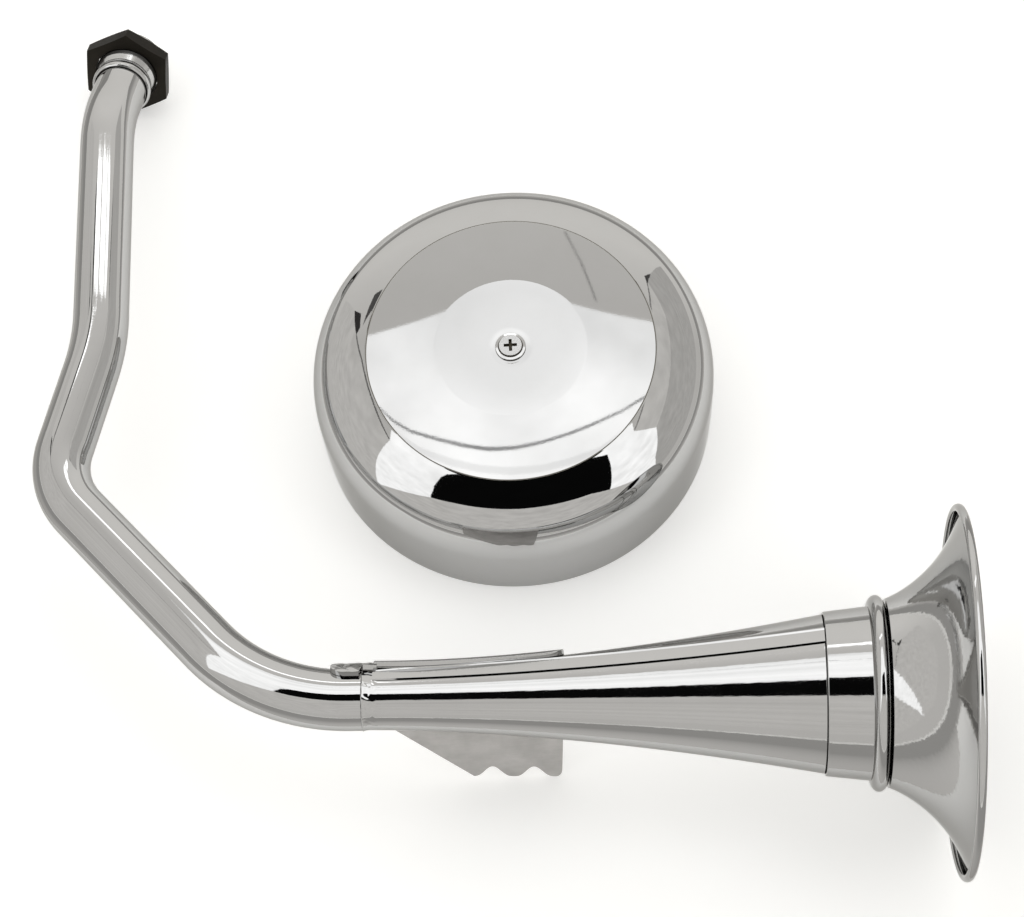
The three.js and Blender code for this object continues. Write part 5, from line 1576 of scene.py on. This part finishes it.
seat = flange_top + SEAT_GAP
head_top = seat + FLANGE_SCREW_HEIGHT
for i, (x, y) in enumerate(screw_spots):
    place = beside(x, y)
    bolt = turned(f"slotted_flange_screw_{i + 1}", soften([
        (0, OUTLET_LENGTH + SEAT_GAP), (FLANGE_SCREW_RADIUS, OUTLET_LENGTH + SEAT_GAP),
        (FLANGE_SCREW_RADIUS, seat), (FLANGE_SCREW_HEAD, seat), (FLANGE_SCREW_HEAD, seat + BOLT_RIM),
        (FLANGE_SCREW_HEAD - BOLT_SLOPE, head_top - BOLT_CROWN),
        (FLANGE_SCREW_HEAD - BOLT_EASE, head_top), (0, head_top),
    ], FINE_EDGE, 2), place, SMALL_SIDES)
    slot_length = 2 * (FLANGE_SCREW_HEAD + SLOT_OVERRUN)
    slotted(bolt, head_top, [(BOLT_TURN * i, slot_length, SLOT_WIDTH, SLOT_DEPTH)], place)
    dress(bolt, "horn_set", zinc_steel, "plain_steel", f"flange_screw_{i + 1}")

# %% [markdown]
# ## Magnet and coil
# A soft iron core hangs from the housing's top in the middle, and its threaded pillar takes the cover's
# screw. Round it sits the bobbin with the winding. The winding's outline has one small arc for each
# turn of wire, so the light breaks on it as it does on real wire. The wire is drawn as rings.

# %% Magnet and coil
CORE_LOW, CORE_RADIUS, PILLAR_TOP, TAPPED_RADIUS, PILLAR_EASE = 21.7, 9.0, 43.7, 2.3, 0.6
PILLAR_NUT_WIDTH, PILLAR_NUT_HEIGHT, PILLAR_NUT_EASE = 13.0, 4.0, 0.5
BOBBIN_RADIUS, BOBBIN_TUBE, BOBBIN_WALL, WINDING_RADIUS = 21.0, 10.3, 1.0, 20.4
WIRE_TURNS, WIRE_ARC, WIRE_STEPS = 18, 72, 6

core_seat = ceiling - SEAT_GAP
bobbin_low, bobbin_top = CORE_LOW + SEAT_GAP, ceiling - 2 * SEAT_GAP
core = threaded("threaded_pole_core", [
    (0, PILLAR_TOP - SCREW_LENGTH), (0, CORE_LOW), (CORE_RADIUS, CORE_LOW), (CORE_RADIUS, core_seat),
    (PILLAR_RADIUS, core_seat)], [(PILLAR_RADIUS - THREAD_DEPTH, housing_top)]
    + thread(PILLAR_RADIUS, housing_top + THREAD_START, PILLAR_TOP - THREAD_END)
    + [(PILLAR_RADIUS - PILLAR_EASE, PILLAR_TOP), (TAPPED_RADIUS, PILLAR_TOP),
       (TAPPED_RADIUS, PILLAR_TOP - SCREW_LENGTH)], cover_place, PLAIN_SIDES)
dress(core, "horn_set", zinc_steel, "plain_steel", "pole_core")

nut_seat = housing_top + SEAT_GAP
pillar_nut = hexagon_nut("pillar_hexagon_nut", PILLAR_NUT_WIDTH, PILLAR_RADIUS + SEAT_GAP, nut_seat,
                         nut_seat + PILLAR_NUT_HEIGHT, PILLAR_NUT_EASE, cover_place, turn=INNER_NUT_TURN)
dress(pillar_nut, "horn_set", zinc_steel, "plain_steel", "pillar_nut")

bobbin = turned("moulded_bobbin", soften([
    (CORE_RADIUS + SEAT_GAP, bobbin_low), (BOBBIN_RADIUS, bobbin_low),
    (BOBBIN_RADIUS, bobbin_low + BOBBIN_WALL), (BOBBIN_TUBE, bobbin_low + BOBBIN_WALL),
    (BOBBIN_TUBE, bobbin_top - BOBBIN_WALL), (BOBBIN_RADIUS, bobbin_top - BOBBIN_WALL),
    (BOBBIN_RADIUS, bobbin_top), (CORE_RADIUS + SEAT_GAP, bobbin_top)], TURNED_EDGE),
    cover_place, PLAIN_SIDES)
dress(bobbin, "horn_set", phenolic, "phenolic", "coil_bobbin")

wire_low = bobbin_low + BOBBIN_WALL + SEAT_GAP
wire_high = bobbin_top - BOBBIN_WALL - SEAT_GAP
wire = (wire_high - wire_low) / WIRE_TURNS
wire_arcs = []
for i in range(WIRE_TURNS):
    middle = (WINDING_RADIUS - wire / 2, wire_low + wire * (i + 0.5))
    wire_arcs += quarter(middle, wire / 2, -WIRE_ARC, WIRE_ARC, WIRE_STEPS)
winding = turned("copper_winding", [(BOBBIN_TUBE + SEAT_GAP, wire_low)] + wire_arcs
                 + [(BOBBIN_TUBE + SEAT_GAP, wire_high)], cover_place, PLAIN_SIDES)
dress(winding, "horn_set", copper, "copper_wire", "coil_winding")
print("wire", round(wire, 2), "mm thick,", WIRE_TURNS, "turns showing")

# %% [markdown]
# ## Armature
# The armature is a steel disc on the diaphragm's middle. The magnet pulls it up, and its small pin then
# lifts the contact arm and breaks the current. Its brass nut holds it from below.

# %% Armature
ARMATURE_RADIUS, ARMATURE_LOW, ARMATURE_THICKNESS = 28.0, 18.4, 2.0
STUD_RADIUS, HUB_RADIUS, ARMATURE_NUT_HEIGHT = 3.0, 5.0, 1.5
TRIP_PIN_PLACE, TRIP_PIN_RADIUS, TRIP_PIN_HEIGHT, TRIP_PIN_ROOT, TRIP_PIN_EDGE = 26.0, 1.2, 0.5, 1.0, 0.25
ARMATURE_NUT_WIDTH = 10.0

armature_top = ARMATURE_LOW + ARMATURE_THICKNESS
nut_low = diaphragm_low - SEAT_GAP - ARMATURE_NUT_HEIGHT
armature = turned("armature_disc", soften([
    (0, nut_low), (STUD_RADIUS, nut_low), (STUD_RADIUS, diaphragm_top + SEAT_GAP),
    (HUB_RADIUS, diaphragm_top + SEAT_GAP), (HUB_RADIUS, ARMATURE_LOW), (ARMATURE_RADIUS, ARMATURE_LOW),
    (ARMATURE_RADIUS, armature_top), (0, armature_top)], TURNED_EDGE), cover_place, PLAIN_SIDES)
dress(armature, "armature_body", zinc_steel, "plain_steel", "armature")

pin = turned("trip_pin", soften([
    (0, armature_top - TRIP_PIN_ROOT), (TRIP_PIN_RADIUS, armature_top - TRIP_PIN_ROOT),
    (TRIP_PIN_RADIUS, armature_top + TRIP_PIN_HEIGHT), (0, armature_top + TRIP_PIN_HEIGHT),
], TRIP_PIN_EDGE),
    beside(TRIP_PIN_PLACE, 0), SMALL_SIDES)
dress(pin, "armature_body", phenolic, "plain_steel")

armature_nut = hexagon_nut("armature_hexagon_nut", ARMATURE_NUT_WIDTH, STUD_RADIUS + SEAT_GAP, nut_low,
                           nut_low + ARMATURE_NUT_HEIGHT, SMALL_NUT_EASE, cover_place, turn=INNER_NUT_TURN)
dress(armature_nut, "armature_body", brass, "brass", "armature_nut")

# %% [markdown]
# ## Contact breaker
# A springy brass arm with a silver point rests on a second, fixed one. When the pin lifts it, the circuit
# opens, the diaphragm falls back, and the horn starts its next stroke. The adjusting screw bends the
# fixed arm and sets the tone. The arms are cut from strip, so they are outlines with thickness.

# %% Contact breaker
ARM_TIP, ARM_HINGE, ARM_HALF, ARM_THICKNESS = 23.5, 39.0, 3.0, 0.7
ARM_TIP_ROUND, ARM_TAPER, TIP_STEPS = 2.0, 6.0, 12
CONTACT_PLACE, CONTACT_RADIUS, CONTACT_HEIGHT, CONTACT_FACE = 33.0, 1.4, 0.6, 0.8
BEND_OUTER, BEND_INNER, BEND_DROP, BEND_BACK, BEND_STEPS = 1.7, 1.0, 1.0, 1.8, 4
POST_THICKNESS, FIXED_REACH, FIXED_DROP = 0.8, 11.0, 0.9
BLOCK_START, BLOCK_LENGTH, BLOCK_HEIGHT = 33.0, 8.4, 6.0
ADJUSTER_PROUD, ADJUSTER_TIP, ADJUSTER_POINT, LOCK_NUT_HEIGHT = 3.6, 0.6, 1.0, 2.4

arm_low = armature_top + TRIP_PIN_HEIGHT + SEAT_GAP
arm_top = arm_low + ARM_THICKNESS
fixed_top = arm_low - CONTACT_HEIGHT - SEAT_GAP - FIXED_DROP
block_low = ceiling - SEAT_GAP - BLOCK_HEIGHT
fixed_end = ARM_HINGE + 2 * POST_THICKNESS + SEAT_GAP

arm_outline = (quarter((ARM_TIP + ARM_TIP_ROUND, 0), ARM_TIP_ROUND, 90, 270, TIP_STEPS)
               + [(ARM_TIP + ARM_TAPER, -ARM_HALF), (ARM_HINGE - SEAT_GAP, -ARM_HALF),
                  (ARM_HINGE - SEAT_GAP, ARM_HALF), (ARM_TIP + ARM_TAPER, ARM_HALF)])
moving_arm = sheet_part("moving_contact_strip", arm_outline, arm_low, arm_top, cover_place)
dress(moving_arm, "contact_arm_body", brass, "brass", "moving_contact_arm")
moving_point = turned("moving_contact_point", soften([
    (0, arm_low - CONTACT_HEIGHT), (CONTACT_RADIUS * CONTACT_FACE, arm_low - CONTACT_HEIGHT),
    (CONTACT_RADIUS, arm_low), (0, arm_low)], TURNED_EDGE), beside(CONTACT_PLACE, 0), SMALL_SIDES)
dress(moving_point, "contact_arm_body", silver, "brass")

upright = cover_place @ Matrix.Rotation(math.pi / 2, 4, "X")
post = sheet_part("contact_arm_post_strip", [
    (ARM_HINGE, arm_low), (ARM_HINGE + POST_THICKNESS, arm_low),
    (ARM_HINGE + POST_THICKNESS, block_low - SEAT_GAP), (ARM_HINGE, block_low - SEAT_GAP)],
    -ARM_HALF, ARM_HALF, upright)
dress(post, "horn_set", brass, "brass", "contact_arm_post")

inner_corner = (fixed_end - BEND_BACK, fixed_top + BEND_DROP)
fixed_arm = sheet_part("fixed_contact_strip", [
    (fixed_end - FIXED_REACH, fixed_top - ARM_THICKNESS),
    *quarter(inner_corner, BEND_OUTER, 270, 330, BEND_STEPS),
    (fixed_end, fixed_top + BEND_DROP), (fixed_end, block_low - SEAT_GAP),
    (fixed_end - POST_THICKNESS, block_low - SEAT_GAP), (fixed_end - POST_THICKNESS, fixed_top + BEND_DROP),
    *quarter(inner_corner, BEND_INNER, -20, -90, BEND_STEPS), (fixed_end - FIXED_REACH, fixed_top)],
    -ADJUSTER_PLACE[1] - ADJUSTER_RADIUS, ARM_HALF, upright)
dress(fixed_arm, "horn_set", brass, "brass", "fixed_contact_arm")
fixed_point = turned("fixed_contact_point", soften([
    (0, fixed_top), (CONTACT_RADIUS, fixed_top),
    (CONTACT_RADIUS * CONTACT_FACE, fixed_top + FIXED_DROP), (0, fixed_top + FIXED_DROP)], TURNED_EDGE),
    beside(CONTACT_PLACE, 0), SMALL_SIDES)
dress(fixed_point, "horn_set", silver, "brass")

block_low_side, block_high_side = -2 * ARM_HALF, ARM_HALF + SEAT_GAP
block = sheet_part("laminate_contact_block", [
    (BLOCK_START, block_low_side), (BLOCK_START + BLOCK_LENGTH, block_low_side),
    (BLOCK_START + BLOCK_LENGTH, block_high_side), (BLOCK_START, block_high_side)],
    block_low, ceiling - SEAT_GAP, cover_place, edge=SAWN_EDGE)
dress(block, "horn_set", phenolic, "phenolic", "contact_block")

adjuster_place = beside(*ADJUSTER_PLACE)
adjuster_top = housing_top + ADJUSTER_PROUD
adjuster = threaded("adjusting_grub_screw", [(0, adjuster_top), (0, fixed_top + SEAT_GAP)],
                    [(ADJUSTER_RADIUS * ADJUSTER_TIP, fixed_top + SEAT_GAP)]
                    + thread(ADJUSTER_RADIUS, fixed_top + ADJUSTER_POINT, adjuster_top - THREAD_END)
                    + [(ADJUSTER_RADIUS - TIP_EASE, adjuster_top)], adjuster_place)
slot_length = 2 * (ADJUSTER_RADIUS + SLOT_OVERRUN)
slotted(adjuster, adjuster_top, [(0, slot_length, SLOT_WIDTH, SLOT_DEPTH)], adjuster_place)
dress(adjuster, "adjusting_screw_body", zinc_steel, "plain_steel", "adjusting_screw")
lock_nut = hexagon_nut("small_lock_nut", SMALL_NUT_WIDTH, ADJUSTER_RADIUS + SEAT_GAP, nut_seat,
                       nut_seat + LOCK_NUT_HEIGHT, SMALL_NUT_EASE, adjuster_place, turn=INNER_NUT_TURN)
dress(lock_nut, "horn_set", zinc_steel, "plain_steel", "lock_nut")

# %% [markdown]
# ## Terminals
# Two brass studs bring the current in. Each sits in a phenolic bush, which keeps it off the housing, and
# carries a nut for the wire's eye.

# %% Terminals
BUSH_FLANGE, BUSH_FLANGE_HEIGHT, BUSH_BELOW = 6.0, 1.5, 1.0
TERMINAL_RADIUS, TERMINAL_HEAD, TERMINAL_HEAD_HEIGHT, TERMINAL_PROUD = 2.0, 3.6, 1.7, 4.6
TERMINAL_NUT_HEIGHT = 2.2

bush_low = ceiling - BUSH_BELOW
bush_top = housing_top + SEAT_GAP + BUSH_FLANGE_HEIGHT
stud_seat = bush_low - SEAT_GAP
stud_top = housing_top + TERMINAL_PROUD
for letter, (x, y) in TERMINAL_PLACES.items():
    place = beside(x, y)
    bush = turned(f"terminal_bush_ring_{letter}", soften([
        (TERMINAL_RADIUS + SEAT_GAP, bush_low), (BUSH_RADIUS, bush_low),
        (BUSH_RADIUS, housing_top + SEAT_GAP), (BUSH_FLANGE, housing_top + SEAT_GAP),
        (BUSH_FLANGE, bush_top), (TERMINAL_RADIUS + SEAT_GAP, bush_top)], TURNED_EDGE),
        place, SMALL_SIDES)
    dress(bush, "horn_set", phenolic, "phenolic", f"terminal_bush_{letter}")
    stud = threaded(f"terminal_screw_{letter}", [
        (0, stud_top), (0, stud_seat - TERMINAL_HEAD_HEIGHT),
        (TERMINAL_HEAD, stud_seat - TERMINAL_HEAD_HEIGHT), (TERMINAL_HEAD, stud_seat),
        (TERMINAL_RADIUS, stud_seat)],
        [(TERMINAL_RADIUS - THREAD_DEPTH, housing_top)]
        + thread(TERMINAL_RADIUS, housing_top + THREAD_START, stud_top - THREAD_END)
        + [(TERMINAL_RADIUS - TIP_EASE, stud_top)], place)
    dress(stud, "horn_set", brass, "brass", f"terminal_stud_{letter}")
    terminal_nut = hexagon_nut(f"terminal_hexagon_nut_{letter}", SMALL_NUT_WIDTH,
                               TERMINAL_RADIUS + SEAT_GAP, bush_top + SEAT_GAP,
                               bush_top + SEAT_GAP + TERMINAL_NUT_HEIGHT, SMALL_NUT_EASE, place,
                               turn=INNER_NUT_TURN)
    dress(terminal_nut, "horn_set", brass, "brass", f"terminal_nut_{letter}")
